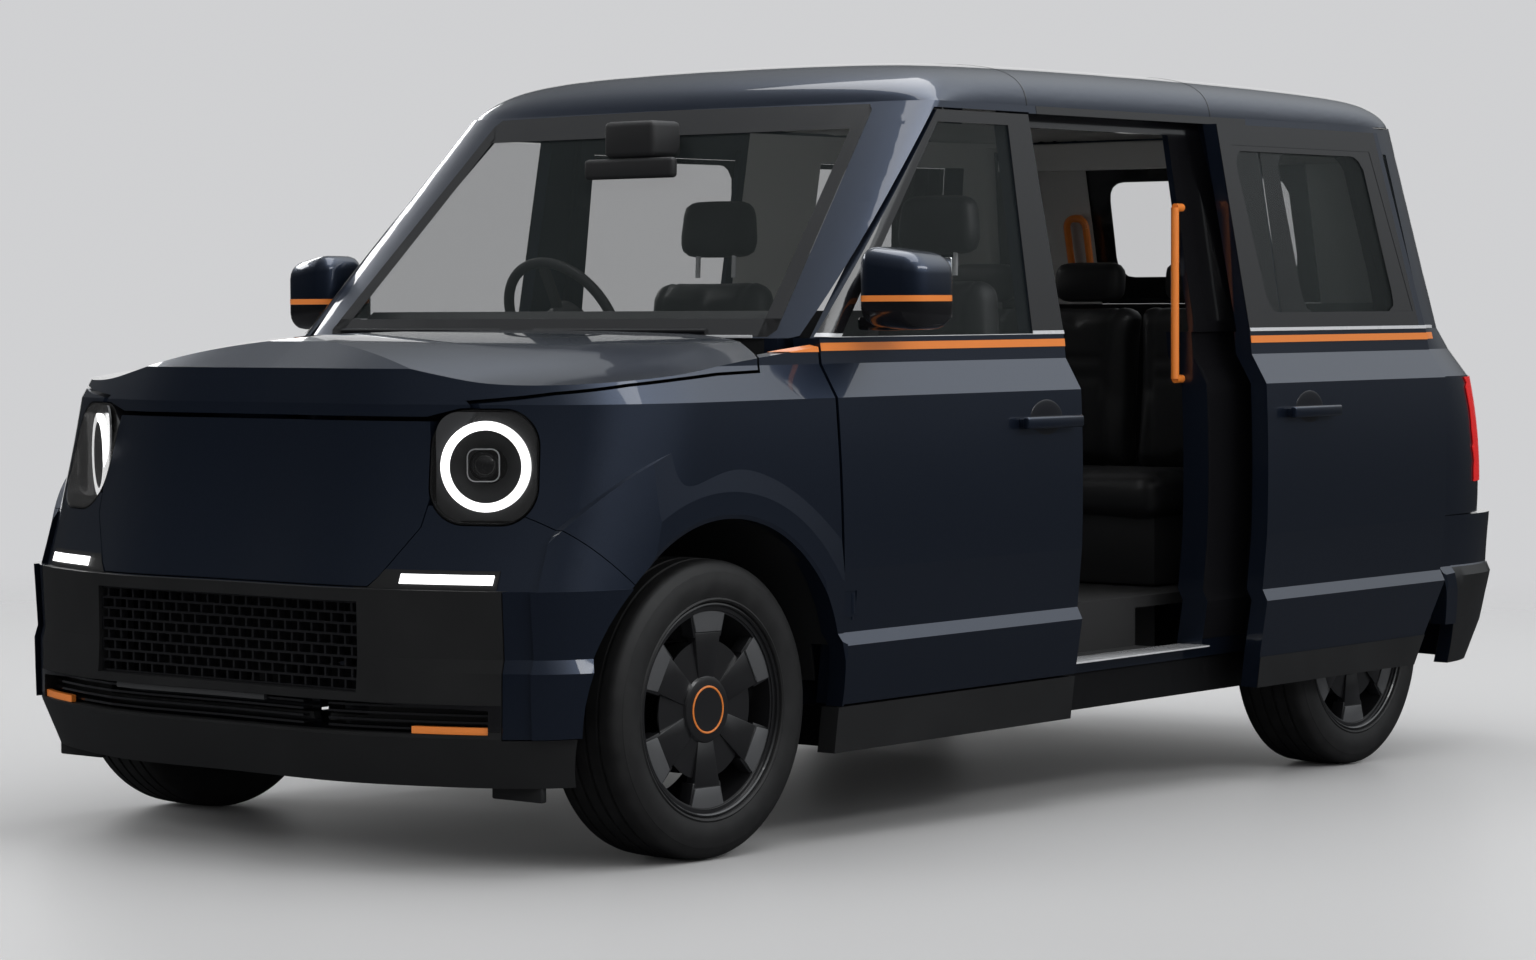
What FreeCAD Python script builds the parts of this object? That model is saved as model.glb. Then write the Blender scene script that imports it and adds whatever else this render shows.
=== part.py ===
"""Taxi cab with sliding rear doors, built as separate pieces with real joints.

Frame of the finished part: +X is the cab's left, -Y its front, +Z up, origin on the ground under
the middle of its box. Body pieces are drawn level, with Y measured back from the front axle and Z
up from the ground there, and then take the cab's slight nose-down stance as their Placement.
"""
import FreeCAD, Part
import math
import os
import re
from functools import lru_cache
from types import SimpleNamespace

import Sketcher
from FreeCAD import Placement, Rotation, Vector

# Driving sizes: alias, millimetres or degrees, what it is
SIZES = [
    ("wheelbase", 2853, "front axle to rear axle"),
    ("axle_to_middle", 1510.75, "front axle to the middle of the cab's length"),
    ("half_track", 792, "middle plane to a wheel's middle"),
    ("body_rake", 1, "nose-down stance, degrees"),
    ("tyre_radius", 345, "18 inch wheel with a 215/55 tyre"),
    ("tyre_half_width", 110, "half of the tyre at its sidewalls"),
    ("tyre_sides", 56, "flat facets round a tyre"),
    ("tyre_tread_half", 74, "half of the flat tread"),
    ("tyre_shoulder_half", 96, "half width at the shoulder"),
    ("tyre_shoulder_drop", 11, "shoulder below the tread"),
    ("sidewall_top", 300, "radius where the sidewall is widest, outer"),
    ("sidewall_low", 275, "radius where the sidewall is widest, inner"),
    ("bead_radius", 228, "tyre's bore"),
    ("bead_half", 88, "half width at the bead"),
    ("flange_radius", 244, "rim flange"),
    ("flange_thick", 10, "rim flange along the axle"),
    ("fit_gap", 0.3, "play between fitted curved faces"),
    ("bearing_gap", 0.5, "play at a bearing or ball joint"),
    ("rim_inner_radius", 212, "inside of the rim barrel"),
    ("barrel_inboard", 98, "rim barrel inboard of the wheel's middle"),
    ("cover_face", 84, "wheel cover's face outboard of the wheel's middle"),
    ("cover_thick", 18, "wheel cover"),
    ("cap_radius", 60, "centre cap"),
    ("cap_proud", 6, "centre cap proud of the cover"),
    ("hub_radius", 72, "hub boss"),
    ("disc_radius", 160, "brake disc"),
    ("disc_half", 10, "half of the brake disc's thickness"),
    ("cover_openings", 6, "openings round the cover"),
    ("opening_inner", 142, "cover opening, inner radius"),
    ("opening_outer", 206, "cover opening, outer radius"),
    ("opening_inner_half", 26, "half width of an opening at its inner end"),
    ("opening_outer_half", 46, "half width of an opening at its outer end"),
    ("half_width", 935, "body half width at the lower shoulder"),
    ("side_bulge", 5, "body side out at mid height"),
    ("crease_proud", 3, "lower crease out"),
    ("scoop_depth", 12, "hollow above the lower crease"),
    ("tuck_in", 20, "panel's bottom edge in"),
    ("crease_z", 462, "lower crease"),
    ("scoop_z", 492, "deepest line of the hollow"),
    ("middle_z", 760, "fullest line of the side"),
    ("shoulder_z", 1047, "lower shoulder line"),
    ("upper_shoulder_z", 1126, "upper shoulder line"),
    ("upper_shoulder_in", 45, "upper shoulder in from the side"),
    ("belt_z", 1186, "belt line, foot of the glass"),
    ("belt_in", 50, "belt in from the side"),
    ("panel_bottom_z", 318, "bottom edge of the painted side"),
    ("sill_bottom_z", 205, "bottom of the sill cover"),
    ("sill_tuck", 34, "sill cover's bottom in from the side"),
    ("sill_depth", 52, "sill cover front to back of its wall"),
    ("bumper_top_z", 642, "top of the dark front bumper"),
    ("nose_lip", 688, "front lip ahead of the front axle"),
    ("nose_bumper", 674, "bumper face ahead of the front axle"),
    ("nose_foot", 640, "valance's foot ahead of the front axle"),
    ("nose_panel_low", 650, "nose panel's bottom ahead of the front axle"),
    ("nose_panel_mid", 608, "nose panel's middle ahead of the front axle"),
    ("nose_panel_top", 534, "nose at the lower shoulder line"),
    ("nose_crest", 512, "nose at the upper shoulder line"),
    ("nose_belt", 420, "nose at the belt line"),
    ("nose_depth", 660, "length over which the nose curves into the sides"),
    ("tail_foot", 3640, "rear valance's foot behind the front axle"),
    ("tail_bumper", 3730, "rear bumper behind the front axle"),
    ("tail_low", 3706, "tail at the panel's bottom edge"),
    ("tail_panel", 3655, "tailgate's lower face behind the front axle"),
    ("tail_shoulder", 3600, "tail at the lower shoulder line"),
    ("tail_crest", 3560, "tail at the upper shoulder line"),
    ("tail_belt", 3500, "tail at the belt line"),
    ("tail_top", 3372, "tail at the roof's edge"),
    ("tail_depth", 520, "length over which the sides curve into the tail"),
    ("tail_bumper_z", 640, "top of the rear bumper"),
    ("cant_z", 1769, "roof's edge, top of the pillars"),
    ("cant_half", 790, "half width at the roof's edge"),
    ("screen_foot", 385, "windscreen's plane at the belt, behind the front axle"),
    ("screen_slope", 0.95, "windscreen, back over up"),
    ("pillar_turn", 80, "windscreen corner, depth of its turn into the side"),
    ("pane_front_border", 26, "front door frame ahead of its glass"),
    ("cowl_depth", 120, "cowl panel under the windscreen's foot"),
    ("roof_top_z", 1901, "roof's highest line"),
    ("roof_skin", 38, "roof with its lining"),
    ("skin", 25, "fender and nose panels with their flanges"),
    ("bumper_wall", 40, "bumper moulding with its foam"),
    ("door_thick", 80, "front door with its trim"),
    ("frame_thick", 42, "window frames and pillars"),
    ("pillar_thick", 62, "body pillars"),
    ("slider_thick", 50, "sliding door with its trim"),
    ("quarter_thick", 110, "rear quarter with its lining"),
    ("glass_thick", 5, "window glass"),
    ("panel_gap", 3, "gap between fixed panels"),
    ("moving_gap", 6, "gap around moving panels"),
    ("door_gap", 8, "gap ahead of a front door, into which its edge swings"),
    ("overrun", 200, "cutters run past the body by this"),
    ("arch_radius", 437, "wheel opening"),
    ("arch_lip_radius", 498, "flat lip around the wheel opening"),
    ("flare_radius", 620, "where the wheel arch's swelling starts"),
    ("flare_proud", 10, "arch lip out from the side"),
    ("liner_radius", 452, "inside of the wheel housing"),
    ("liner_thick", 5, "wheel housing"),
    ("liner_inner_x", 452, "inboard wall of the front wheel housing"),
    ("rear_liner_inner_x", 600, "inboard wall of the rear wheel housing"),
    ("liner_outer_x", 896, "outboard edge of the wheel housing"),
    ("door_front_low", 456, "front door's front edge at its bottom"),
    ("door_front_belt", 412, "front door's front edge at the belt"),
    ("door_rear", 1418, "front door's rear edge below the shoulder"),
    ("door_rear_belt", 1412, "front door's rear edge at the belt"),
    ("door_rear_top", 1385, "front door's rear edge at its top"),
    ("door_top_z", 1746, "top of the doors"),
    ("door_screen_gap", 44, "front door frame behind the windscreen's corner"),
    ("pane_border", 62, "front door frame around its glass"),
    ("pane_rear_belt", 1275, "front door glass, rear edge at the belt"),
    ("pane_rear_top", 1290, "front door glass, rear edge at its top"),
    ("slider_front", 1424, "sliding door's front edge, shut, below the shoulder"),
    ("slider_front_belt", 1419, "sliding door's front edge at the belt"),
    ("slider_front_top", 1393, "sliding door's front edge at its top"),
    ("slider_rear", 2389, "sliding door's rear edge at the shoulder"),
    ("slider_rear_belt", 2362, "sliding door's rear edge at the belt"),
    ("slider_rear_top", 2241, "sliding door's rear edge at its top"),
    ("slider_rear_foot", 2265, "sliding door's rear edge at the bottom of its sill"),
    ("slider_foot_z", 226, "bottom of the sliding door's sill cover"),
    ("slider_shift", 776, "sliding door's travel when open"),
    ("slider_out", 64, "sliding door out from the side when open"),
    ("doorway_rear", 2090, "rear edge of the doorway behind the sliding door"),
    ("doorway_foot_z", 340, "step of the doorway"),
    ("doorway_top_z", 1716, "top of the doorway"),
    ("quarter_pane_front", 2470, "rear quarter window, front edge"),
    ("quarter_pane_rear", 3235, "rear quarter window, rear edge at the belt"),
    ("quarter_pane_foot", 52, "side windows' bottom above the belt"),
    ("quarter_pane_top", 1690, "side windows' top"),
    ("floor_z", 470, "cabin floor"),
    ("floor_thick", 30, "cabin floor plate"),
    ("floor_half", 690, "cabin floor half width"),
    ("floor_front", 470, "cabin floor's front end"),
    ("floor_rear", 3590, "cabin floor's rear end"),
    ("step_z", 338, "doorway step's top"),
    ("step_thick", 26, "doorway step plate"),
    ("battery_half", 560, "traction battery half width"),
    ("battery_front", 620, "traction battery's front end"),
    ("battery_rear", 2320, "traction battery's rear end"),
    ("battery_bottom_z", 214, "traction battery's underside"),
    ("lamp_x", 660, "headlamp's middle from the middle plane"),
    ("lamp_ahead", 500, "headlamp's middle ahead of the front axle"),
    ("lamp_z", 910, "headlamp's middle height"),
    ("lamp_turn", 33, "headlamp turned outward, degrees"),
    ("lamp_side", 252, "headlamp's rounded square"),
    ("lamp_corner", 84, "headlamp's corner radius"),
    ("lamp_depth", 120, "headlamp's housing"),
    ("tail_lamp_low", 731, "tail lamp's bottom"),
    ("tail_lamp_high", 1046, "tail lamp's top"),
    ("tailgate_half", 742, "tailgate half width"),
    ("tail_lamp_half", 842, "tail lamp's outer edge"),
    ("hatch_pane_low", 1262, "tailgate window's bottom"),
    ("hatch_pane_high", 1680, "tailgate window's top"),
    ("hatch_pane_half", 610, "tailgate window half width"),
    ("kingpin_x", 640, "steering axis from the middle plane"),
    ("strut_radius", 28, "front strut"),
    ("strut_top_z", 795.5, "front strut's top"),
    ("ball_joint_z", 196, "top of the lower arm's outer end"),
    ("knuckle_half", 42, "half width of the knuckle"),
    ("knuckle_thick", 30, "knuckle's plate"),
    ("knuckle_inboard", 70, "knuckle's inner face inboard of the wheel's middle"),
    ("knuckle_reach", 150, "knuckle above and below the axle"),
    ("spindle_radius", 34, "front spindle and rear hub carrier"),
    ("subframe_half", 430, "front subframe half width"),
    ("subframe_low", 190, "front subframe's underside"),
    ("subframe_height", 70, "front subframe"),
    ("subframe_half_length", 190, "front subframe half length"),
    ("arm_height", 28, "front lower arm"),
    ("rear_beam_radius", 38, "rear axle beam"),
    ("drive_half", 150, "rear drive unit half width"),
    ("drive_length", 300, "rear drive unit front to back"),
    ("drive_height", 190, "rear drive unit"),
    ("seat_x", 380, "front seat's middle from the middle plane"),
    ("seat_half", 250, "front seat half width"),
    ("seat_front", 960, "front seat cushion's front"),
    ("seat_length", 500, "front seat cushion"),
    ("seat_top_z", 770, "front seat cushion's top"),
    ("pad_thick", 130, "seat cushions"),
    ("back_thick", 120, "seat backs"),
    ("seat_back_top_z", 1370, "front seat back's top"),
    ("headrest_half", 135, "headrest half width"),
    ("headrest_low", 1392, "headrest's bottom"),
    ("headrest_high", 1566, "headrest's top"),
    ("headrest_thick", 95, "headrest"),
    ("headrest_lean", 40, "headrest behind the seat back's foot"),
    ("bench_half", 610, "rear bench half width"),
    ("bench_front", 2290, "rear bench's front edge"),
    ("bench_length", 430, "rear bench's cushion"),
    ("bench_top_z", 790, "rear bench's top"),
    ("bench_back_top", 1290, "rear bench back's top"),
    ("bench_head_top", 1384, "rear headrests' top"),
    ("seat_soft_edge", 40, "rounded edges of the seats"),
    ("dash_front", 480, "dashboard's front"),
    ("dash_rear", 830, "dashboard's rear edge"),
    ("dash_top_z", 1250, "dashboard's top"),
    ("dash_low_z", 900, "dashboard's bottom"),
    ("dash_half", 780, "dashboard half width"),
    ("wheel_rim_radius", 180, "steering wheel"),
    ("wheel_rim_thick", 14, "steering wheel rim's section radius"),
    ("steering_x", 380, "steering wheel from the middle plane, to the right"),
    ("steering_back", 915, "steering wheel's hub behind the front axle"),
    ("steering_z", 1218, "steering wheel's hub height"),
    ("column_tilt", 27, "steering column, degrees up from level"),
    ("column_radius", 32, "steering column"),
    ("mirror_front", 520, "door mirror's front"),
    ("mirror_back", 720, "door mirror's back"),
    ("mirror_low", 1222, "door mirror's bottom"),
    ("mirror_high", 1392, "door mirror's top"),
    ("mirror_inner", 900, "door mirror's inner end"),
    ("mirror_outer", 1040, "door mirror's outer end"),
    ("mirror_edge", 34, "door mirror's rounding"),
    ("grip_radius", 11, "grab handles' section radius"),
    ("grip_length", 230, "side grab handle"),
    ("wiper_arm", 560, "windscreen wiper"),
    ("wiper_radius", 8, "windscreen wiper's section radius"),
    ("post_inner", 740, "hinge post's inner face"),
    ("post_outer", 780, "hinge post's outer face"),
    ("post_front", 470, "hinge post's front face"),
    ("post_length", 90, "hinge post, front to back"),
    ("hinge_x", 924, "front door hinge axis from the middle plane"),
    ("hinge_back", 480, "front door hinge axis behind the front axle"),
    ("hinge_low_z", 560, "front door's lower hinge"),
    ("hinge_high_z", 980, "front door's upper hinge"),
    ("hinge_half", 24, "half height of a door hinge"),
    ("eye_radius", 8.5, "hinge eye"),
    ("pin_radius", 5, "hinge pin"),
    ("gate_axis_back", 3366, "tailgate's hinge axis behind the front axle"),
    ("gate_axis_z", 1733, "tailgate's hinge axis"),
    ("gate_hinge_x", 450, "tailgate hinge from the middle plane"),
    ("gate_top_drop", 28, "tailgate's top edge below the roof's edge"),
    ("bonnet_axis_back", 324, "bonnet's hinge axis behind the front axle"),
    ("bonnet_axis_z", 1160, "bonnet's hinge axis"),
    ("bonnet_hinge_x", 600, "bonnet hinge from the middle plane"),
    ("bulkhead_thick", 12, "bulkhead"),
    ("bulkhead_top_z", 1123, "bulkhead's top"),
    ("rocker_foot_z", 216, "structural sill's underside"),
    ("rocker_rear", 2330, "structural sill's rear end"),
    ("carrier_thick", 20, "front carrier"),
    ("crown_start", 720, "bonnet crown's net starts ahead of the front axle"),
    ("crown_end", 500, "bonnet crown's net ends behind the front axle"),
    ("crown_foot_z", 960, "height from which the crown's rise is counted"),
    ("crown_rise", 246, "bonnet crown's rise"),
    ("crown_cap_z", 1220, "top of the nose's mass above the belt"),
    ("crown_cap_front", 300, "nose's mass at its top, ahead of the front axle"),
    ("side_line_front", 560, "bonnet's side shut line starts ahead of the front axle"),
    ("side_line_rear", 180, "bonnet's side shut line ends behind the front axle"),
    ("side_line_low", 1048, "bonnet's side shut line at its front"),
    ("side_line_high", 1113, "bonnet's side shut line at its rear"),
    ("bonnet_back", 362, "bonnet's rear edge behind the front axle, in the middle"),
    ("bonnet_turn", 192, "bonnet's rear edge, its turn forward at the sides"),
    ("bonnet_lip_z", 1017, "bonnet's front edge above the nose panel"),
    ("nose_panel_half", 545, "blank nose panel half width"),
    ("bumper_half", 760, "dark front bumper half width"),
    ("grille_half", 428, "bumper's grille opening half width"),
    ("grille_low_z", 412, "bottom of the grille opening"),
    ("grille_high_z", 614, "top of the grille opening"),
    ("grille_rows", 8, "rows of openings in the grille mesh"),
    ("grille_columns", 20, "columns of openings in the grille mesh"),
    ("grille_bar", 6, "bars of the grille mesh"),
    ("grille_depth", 18, "grille mesh front to back, and its set-back"),
    ("slot_low_z", 323, "bottom of the slot under the grille"),
    ("slot_high_z", 393, "top of the slot under the grille"),
    ("screen_low_half", 748, "windscreen half width at its foot"),
    ("screen_high_half", 640, "windscreen half width at its top"),
    ("screen_corner", 16, "windscreen's cut corners"),
    ("horn_x", 300, "towing socket from the middle plane"),
    ("horn_z", 347, "towing socket's height"),
    ("horn_radius", 26, "towing socket's boss"),
    ("horn_reach", 610, "towing socket's mouth ahead of the front axle"),
    ("tow_bore", 9, "towing socket's thread radius"),
    ("tow_depth", 60, "towing socket's threaded length"),
    ("rail_x", 350, "inner side of a front rail from the middle plane"),
    ("rail_side", 70, "front rail's square section"),
    ("cowl_half", 738, "cowl panel half width"),
    ("doorway_grip_x", 800, "doorway grab rail from the middle plane"),
]

doc = FreeCAD.newDocument("taxi_cab")
sheet = doc.addObject("Spreadsheet::Sheet", "Sizes")
for row, (alias, value, note) in enumerate(SIZES, start=1):
    sheet.set(f"A{row}", alias)
    sheet.set(f"B{row}", str(value))
    sheet.setAlias(f"B{row}", alias)
    sheet.set(f"C{row}", note)
doc.recompute()
g = SimpleNamespace(**{alias: float(sheet.get(alias)) for alias, _, _ in SIZES})

X_AXIS = Vector(1, 0, 0)
Y_AXIS = Vector(0, 1, 0)
Z_AXIS = Vector(0, 0, 1)
ORIGIN = Vector(0, 0, 0)

# Placements: wheels and axles stand level, the body leans nose down about the front axle's foot
GROUND = Placement(Vector(0, -g.axle_to_middle, 0), Rotation())
STANCE = Placement(Vector(0, -g.axle_to_middle, 0), Rotation(X_AXIS, g.body_rake))

NODES = []


def node(name, piece, placement=STANCE):
    """Name a finished piece and put it in its place."""
    piece.Label = name
    piece.Placement = placement
    NODES.append(piece)
    return piece


def feature(name, shape, placement=STANCE):
    """A freeform piece whose shape is worked out here from the sheet's sizes."""
    piece = doc.addObject("Part::Feature", name)
    piece.Shape = shape
    return node(name, piece, placement)


def cell(text):
    """Turn the sheet's aliases in a formula into references to its cells."""
    functions = ("sin", "cos", "tan", "sqrt", "deg")
    return re.sub(r"[a-z][a-z_]+[a-z]", lambda hit: hit.group(0) if hit.group(0) in functions
                  else "Sizes." + hit.group(0), text)


def bind(piece, **formulas):
    """Bind properties to formulas of sheet cells; x, y and z are the Placement's base."""
    for name, text in formulas.items():
        path = f".Placement.Base.{name}" if name in "xyz" else name
        piece.setExpression(path, cell(text))
    return piece


def block(name, length, width, height, x, y, z):
    return bind(doc.addObject("Part::Box", name), Length=length, Width=width, Height=height, x=x, y=y, z=z)


def rod(name, radius, height, x, y, z, axis=Z_AXIS):
    piece = bind(doc.addObject("Part::Cylinder", name), Radius=radius, Height=height, x=x, y=y, z=z)
    piece.Placement.Rotation = Rotation(Z_AXIS, axis)
    return piece


def joined(name, pieces):
    piece = doc.addObject("Part::MultiFuse", name)
    piece.Shapes = pieces
    return piece


def grouped(name, pieces):
    """Separate solids that share one node."""
    piece = doc.addObject("Part::Compound", name)
    piece.Links = pieces
    return piece


def outline(body, name, role, points):
    """A closed sketch whose corners are held at formulas of sheet cells."""
    sketch = body.newObject("Sketcher::SketchObject", name)
    sketch.AttachmentSupport = [(next(p for p in body.Origin.OriginFeatures if p.Role == role), "")]
    sketch.MapMode = "FlatFace"
    count = len(points)
    turn = 2 * math.pi / count
    ring = [Vector(math.cos(turn * i), math.sin(turn * i), 0) for i in range(count)]
    for i in range(count):
        sketch.addGeometry(Part.LineSegment(ring[i], ring[(i + 1) % count]), False)
    for i in range(count):
        sketch.addConstraint(Sketcher.Constraint("Coincident", i, 2, (i + 1) % count, 1))
    for i, corner in enumerate(points):
        for kind, text in zip(("DistanceX", "DistanceY"), corner):
            index = sketch.addConstraint(Sketcher.Constraint(kind, -1, 1, i, 1, 1.0))
            sketch.setExpression(f"Constraints[{index}]", cell(text))
    return sketch


def turned_body(name, points):
    """A body of revolution about X: points are (along the axle, radius)."""
    body = doc.addObject("PartDesign::Body", name)
    sketch = outline(body, name + "_profile", "XY_Plane", points)
    turning = body.newObject("PartDesign::Revolution", name + "_turn")
    turning.Profile = sketch
    turning.ReferenceAxis = (sketch, ["H_Axis"])
    turning.Angle = 360
    sketch.Visibility = False
    return body


def make_tyre(profile):
    """Ring of flat facets about X: profile is (along the axle, radius), its inner ring clear of the rim."""
    sides = int(g.tyre_sides)
    turns = [math.tau * step / sides - math.pi / 2 for step in range(sides)]
    clear = g.bead_radius * (1 / math.cos(math.pi / sides) - 1)
    rings = [[Vector(across, (radius + clear * (radius < g.sidewall_low)) * math.cos(turn),
                     (radius + clear * (radius < g.sidewall_low)) * math.sin(turn)) for turn in turns]
             for across, radius in profile]
    faces = []
    for ring, after in zip(rings, rings[1:] + rings[:1]):
        for start, stop in zip(range(sides), list(range(1, sides)) + [0]):
            faces.append(Part.Face(polygon([ring[start], ring[stop], after[stop], after[start]])))
    shell = Part.makeShell(faces)
    shell.sewShape()
    tyre = Part.makeSolid(shell)
    if tyre.Volume < 0:
        tyre.reverse()
    return tyre


def padded_body(name, role, points, length, middle=True):
    """A body padded from a closed outline on one of its origin planes."""
    body = doc.addObject("PartDesign::Body", name)
    sketch = outline(body, name + "_profile", role, points)
    pad = body.newObject("PartDesign::Pad", name + "_pad")
    pad.Profile = sketch
    pad.setExpression("Length", cell(length))
    pad.Midplane = middle
    return body


# Geometry helpers for the skins


def polygon(points):
    return Part.makePolygon(list(points) + [points[0]])


def side_prism(points, inner=0.0, outer=None):
    """A prism along X over a (back, up) outline, on the cab's left side."""
    reach = g.half_width + g.overrun if outer is None else outer
    face = Part.Face(polygon([Vector(inner, y, z) for y, z in points]))
    return face.extrude(Vector(reach - inner, 0, 0))


def front_prism(points, start, end):
    """A prism along Y over an (across, up) outline."""
    face = Part.Face(polygon([Vector(x, start, z) for x, z in points]))
    return face.extrude(Vector(0, end - start, 0))


def plan_prism(points, low, high):
    face = Part.Face(polygon([Vector(x, y, low) for x, y in points]))
    return face.extrude(Vector(0, 0, high - low))


def mirrored(shape):
    return shape.mirror(ORIGIN, X_AXIS)


def both_halves(half):
    """One solid from a left half that ends on the middle plane."""
    return half.fuse(mirrored(half)).removeSplitter()


def rounded(start, end, start_way, end_way, between):
    """A smooth edge through points with set directions at its ends."""
    curve = Part.BSplineCurve()
    curve.interpolate(Points=[start] + between + [end], InitialTangent=start_way, FinalTangent=end_way)
    return curve.toShape()


# Plan of the nose and the tail: share of the half width, share of the depth of the turn
NOSE_SHARES = [(0.43, 0.006), (0.62, 0.075), (0.80, 0.175), (0.93, 0.33), (0.985, 0.52)]
TAIL_SHARES = [(0.50, 0.012), (0.78, 0.045), (0.91, 0.115), (0.975, 0.30)]


def half_plan(z, half, front, rear):
    """The body's left half at one height, as a closed wire with two lines and two curves."""
    turn_in = front + g.nose_depth
    turn_out = rear - g.tail_depth
    nose = rounded(Vector(0, front, z), Vector(half, turn_in, z), X_AXIS, Y_AXIS,
                   [Vector(half * a, front + g.nose_depth * b, z) for a, b in NOSE_SHARES])
    tail = rounded(Vector(0, rear, z), Vector(half, turn_out, z), X_AXIS, -Y_AXIS,
                   [Vector(half * a, rear - g.tail_depth * b, z) for a, b in TAIL_SHARES])
    side = Part.makeLine(Vector(half, turn_in, z), Vector(half, turn_out, z))
    middle = Part.makeLine(Vector(0, rear, z), Vector(0, front, z))
    return Part.Wire([nose, side, tail, middle])


@lru_cache(maxsize=None)
def body_mass(inset, tall=False):
    """The left half of the lower body, filled, with every face moved in by inset; tall adds the bonnet's room."""
    def level(z, half, front, rear):
        return half_plan(z, half - inset, inset - front, rear - inset)

    widest = g.half_width + g.side_bulge
    foot = [
        level(g.sill_bottom_z, g.half_width - g.sill_tuck, g.nose_foot, g.tail_foot),
        level(g.panel_bottom_z, g.half_width - g.tuck_in, g.nose_lip, g.tail_low),
        level(g.crease_z, g.half_width + g.crease_proud, g.nose_bumper, g.tail_bumper),
        level(g.scoop_z, g.half_width - g.scoop_depth, g.nose_bumper, g.tail_bumper),
        level(g.bumper_top_z, widest - g.crease_proud, g.nose_bumper, g.tail_bumper),
    ]
    waist = [
        level(g.bumper_top_z, widest - g.crease_proud, g.nose_panel_low, g.tail_panel),
        level(g.middle_z, widest, g.nose_panel_mid, g.tail_panel),
        level(g.shoulder_z, g.half_width, g.nose_panel_top, g.tail_shoulder),
    ]
    brow = [
        level(g.shoulder_z, g.half_width, g.nose_panel_top, g.tail_shoulder),
        level(g.upper_shoulder_z, g.half_width - g.upper_shoulder_in, g.nose_crest, g.tail_crest),
        level(g.belt_z, g.half_width - g.belt_in, g.nose_belt, g.tail_belt),
    ]
    solids = [Part.makeLoft(foot, True, True), Part.makeLoft(waist, True, False), Part.makeLoft(brow, True, True)]
    if tall:
        top = level(g.crown_cap_z, g.half_width - g.belt_in, g.crown_cap_front, g.tail_belt)
        solids.append(Part.makeLoft([brow[-1], top], True, True))
    return solids[0].fuse(solids[1:])


def cabin_plan(z, inset, level):
    """The glasshouse's left half in plan at height z, moved in by inset and drawn at a level."""
    half = cabin_half(z) - inset
    front = screen_at(z) + inset
    rear = tail_at(z) - inset
    turn = g.pillar_turn
    nose = rounded(Vector(0, front, level), Vector(half, front + turn, level), X_AXIS, Y_AXIS,
                   [Vector(half * a, front + turn * b, level) for a, b in SCREEN_SHARES])
    tail = rounded(Vector(0, rear, level), Vector(half, rear - g.tail_depth, level), X_AXIS, -Y_AXIS,
                   [Vector(half * a, rear - g.tail_depth * b, level) for a, b in TAIL_SHARES])
    side = Part.makeLine(Vector(half, front + turn, level), Vector(half, rear - g.tail_depth, level))
    middle = Part.makeLine(Vector(0, rear, level), Vector(0, front, level))
    return Part.Wire([nose, side, tail, middle])


def cabin_prism(inset, low, high):
    """An upright prism over the glasshouse's plan at the belt."""
    return Part.Face(cabin_plan(g.belt_z, inset, low)).extrude(Vector(0, 0, high - low))


def cabin_half(z):
    """Half width of the glasshouse at a height."""
    share = (z - g.belt_z) / (g.cant_z - g.belt_z)
    return g.half_width - g.belt_in + share * (g.cant_half - g.half_width + g.belt_in)


def screen_at(z):
    """How far back the windscreen's plane lies at a height."""
    return g.screen_foot + g.screen_slope * (z - g.belt_z)


def tail_at(z):
    """How far back the glasshouse's tail lies at a height."""
    share = (z - g.belt_z) / (g.cant_z - g.belt_z)
    return g.tail_belt + share * (g.tail_top - g.tail_belt)


# Plan of the windscreen: share of the half width, share of the turn at the pillar
SCREEN_SHARES = [(0.45, 0.05), (0.78, 0.20), (0.93, 0.42)]


@lru_cache(maxsize=None)
def cabin_mass(inset):
    """The left half of the glasshouse between belt and roof edge, filled."""
    return Part.makeLoft([cabin_plan(z, inset, z) for z in (g.belt_z, g.cant_z)], True, True)


BODY = body_mass(0)
TALL_BODY = body_mass(0, True)
CABIN = cabin_mass(0)


@lru_cache(maxsize=None)
def body_wall(thick):
    return BODY.cut(body_mass(thick))


@lru_cache(maxsize=None)
def cabin_wall(thick):
    return CABIN.cut(cabin_mass(thick))


def hub(back):
    """A wheel's centre, a distance behind the front axle, in the body's leaning frame."""
    lean = math.radians(g.body_rake)
    return (back * math.cos(lean) + g.tyre_radius * math.sin(lean),
            g.tyre_radius * math.cos(lean) - back * math.sin(lean))


FRONT_HUB = hub(0)
REAR_HUB = hub(g.wheelbase)


def disc_at(centre, radius, inner, outer):
    """A cylinder along X around a wheel's centre."""
    return Part.makeCylinder(radius, outer - inner, Vector(inner, centre[0], centre[1]), X_AXIS)


FLARE_MASS = body_mass(-g.flare_proud)


@lru_cache(maxsize=None)
def arch_flare(centre):
    """The swelling around a wheel opening, as a ring turned about the wheel's axle."""
    side = g.half_width - g.scoop_depth
    lip = g.half_width + g.flare_proud
    profile = [(g.arch_radius, side - 4 * g.skin), (g.arch_radius, lip - g.crease_proud),
               (g.arch_radius + g.flare_proud, lip), (g.arch_lip_radius, lip),
               (g.flare_radius, side + g.flare_proud), (g.flare_radius, side - 4 * g.skin)]
    face = Part.Face(polygon([Vector(x, centre[0], centre[1] + r) for r, x in profile]))
    ring = face.revolve(Vector(0, centre[0], centre[1]), X_AXIS, 360)
    return ring.common(FLARE_MASS)


# Side view outlines of the doors


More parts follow.
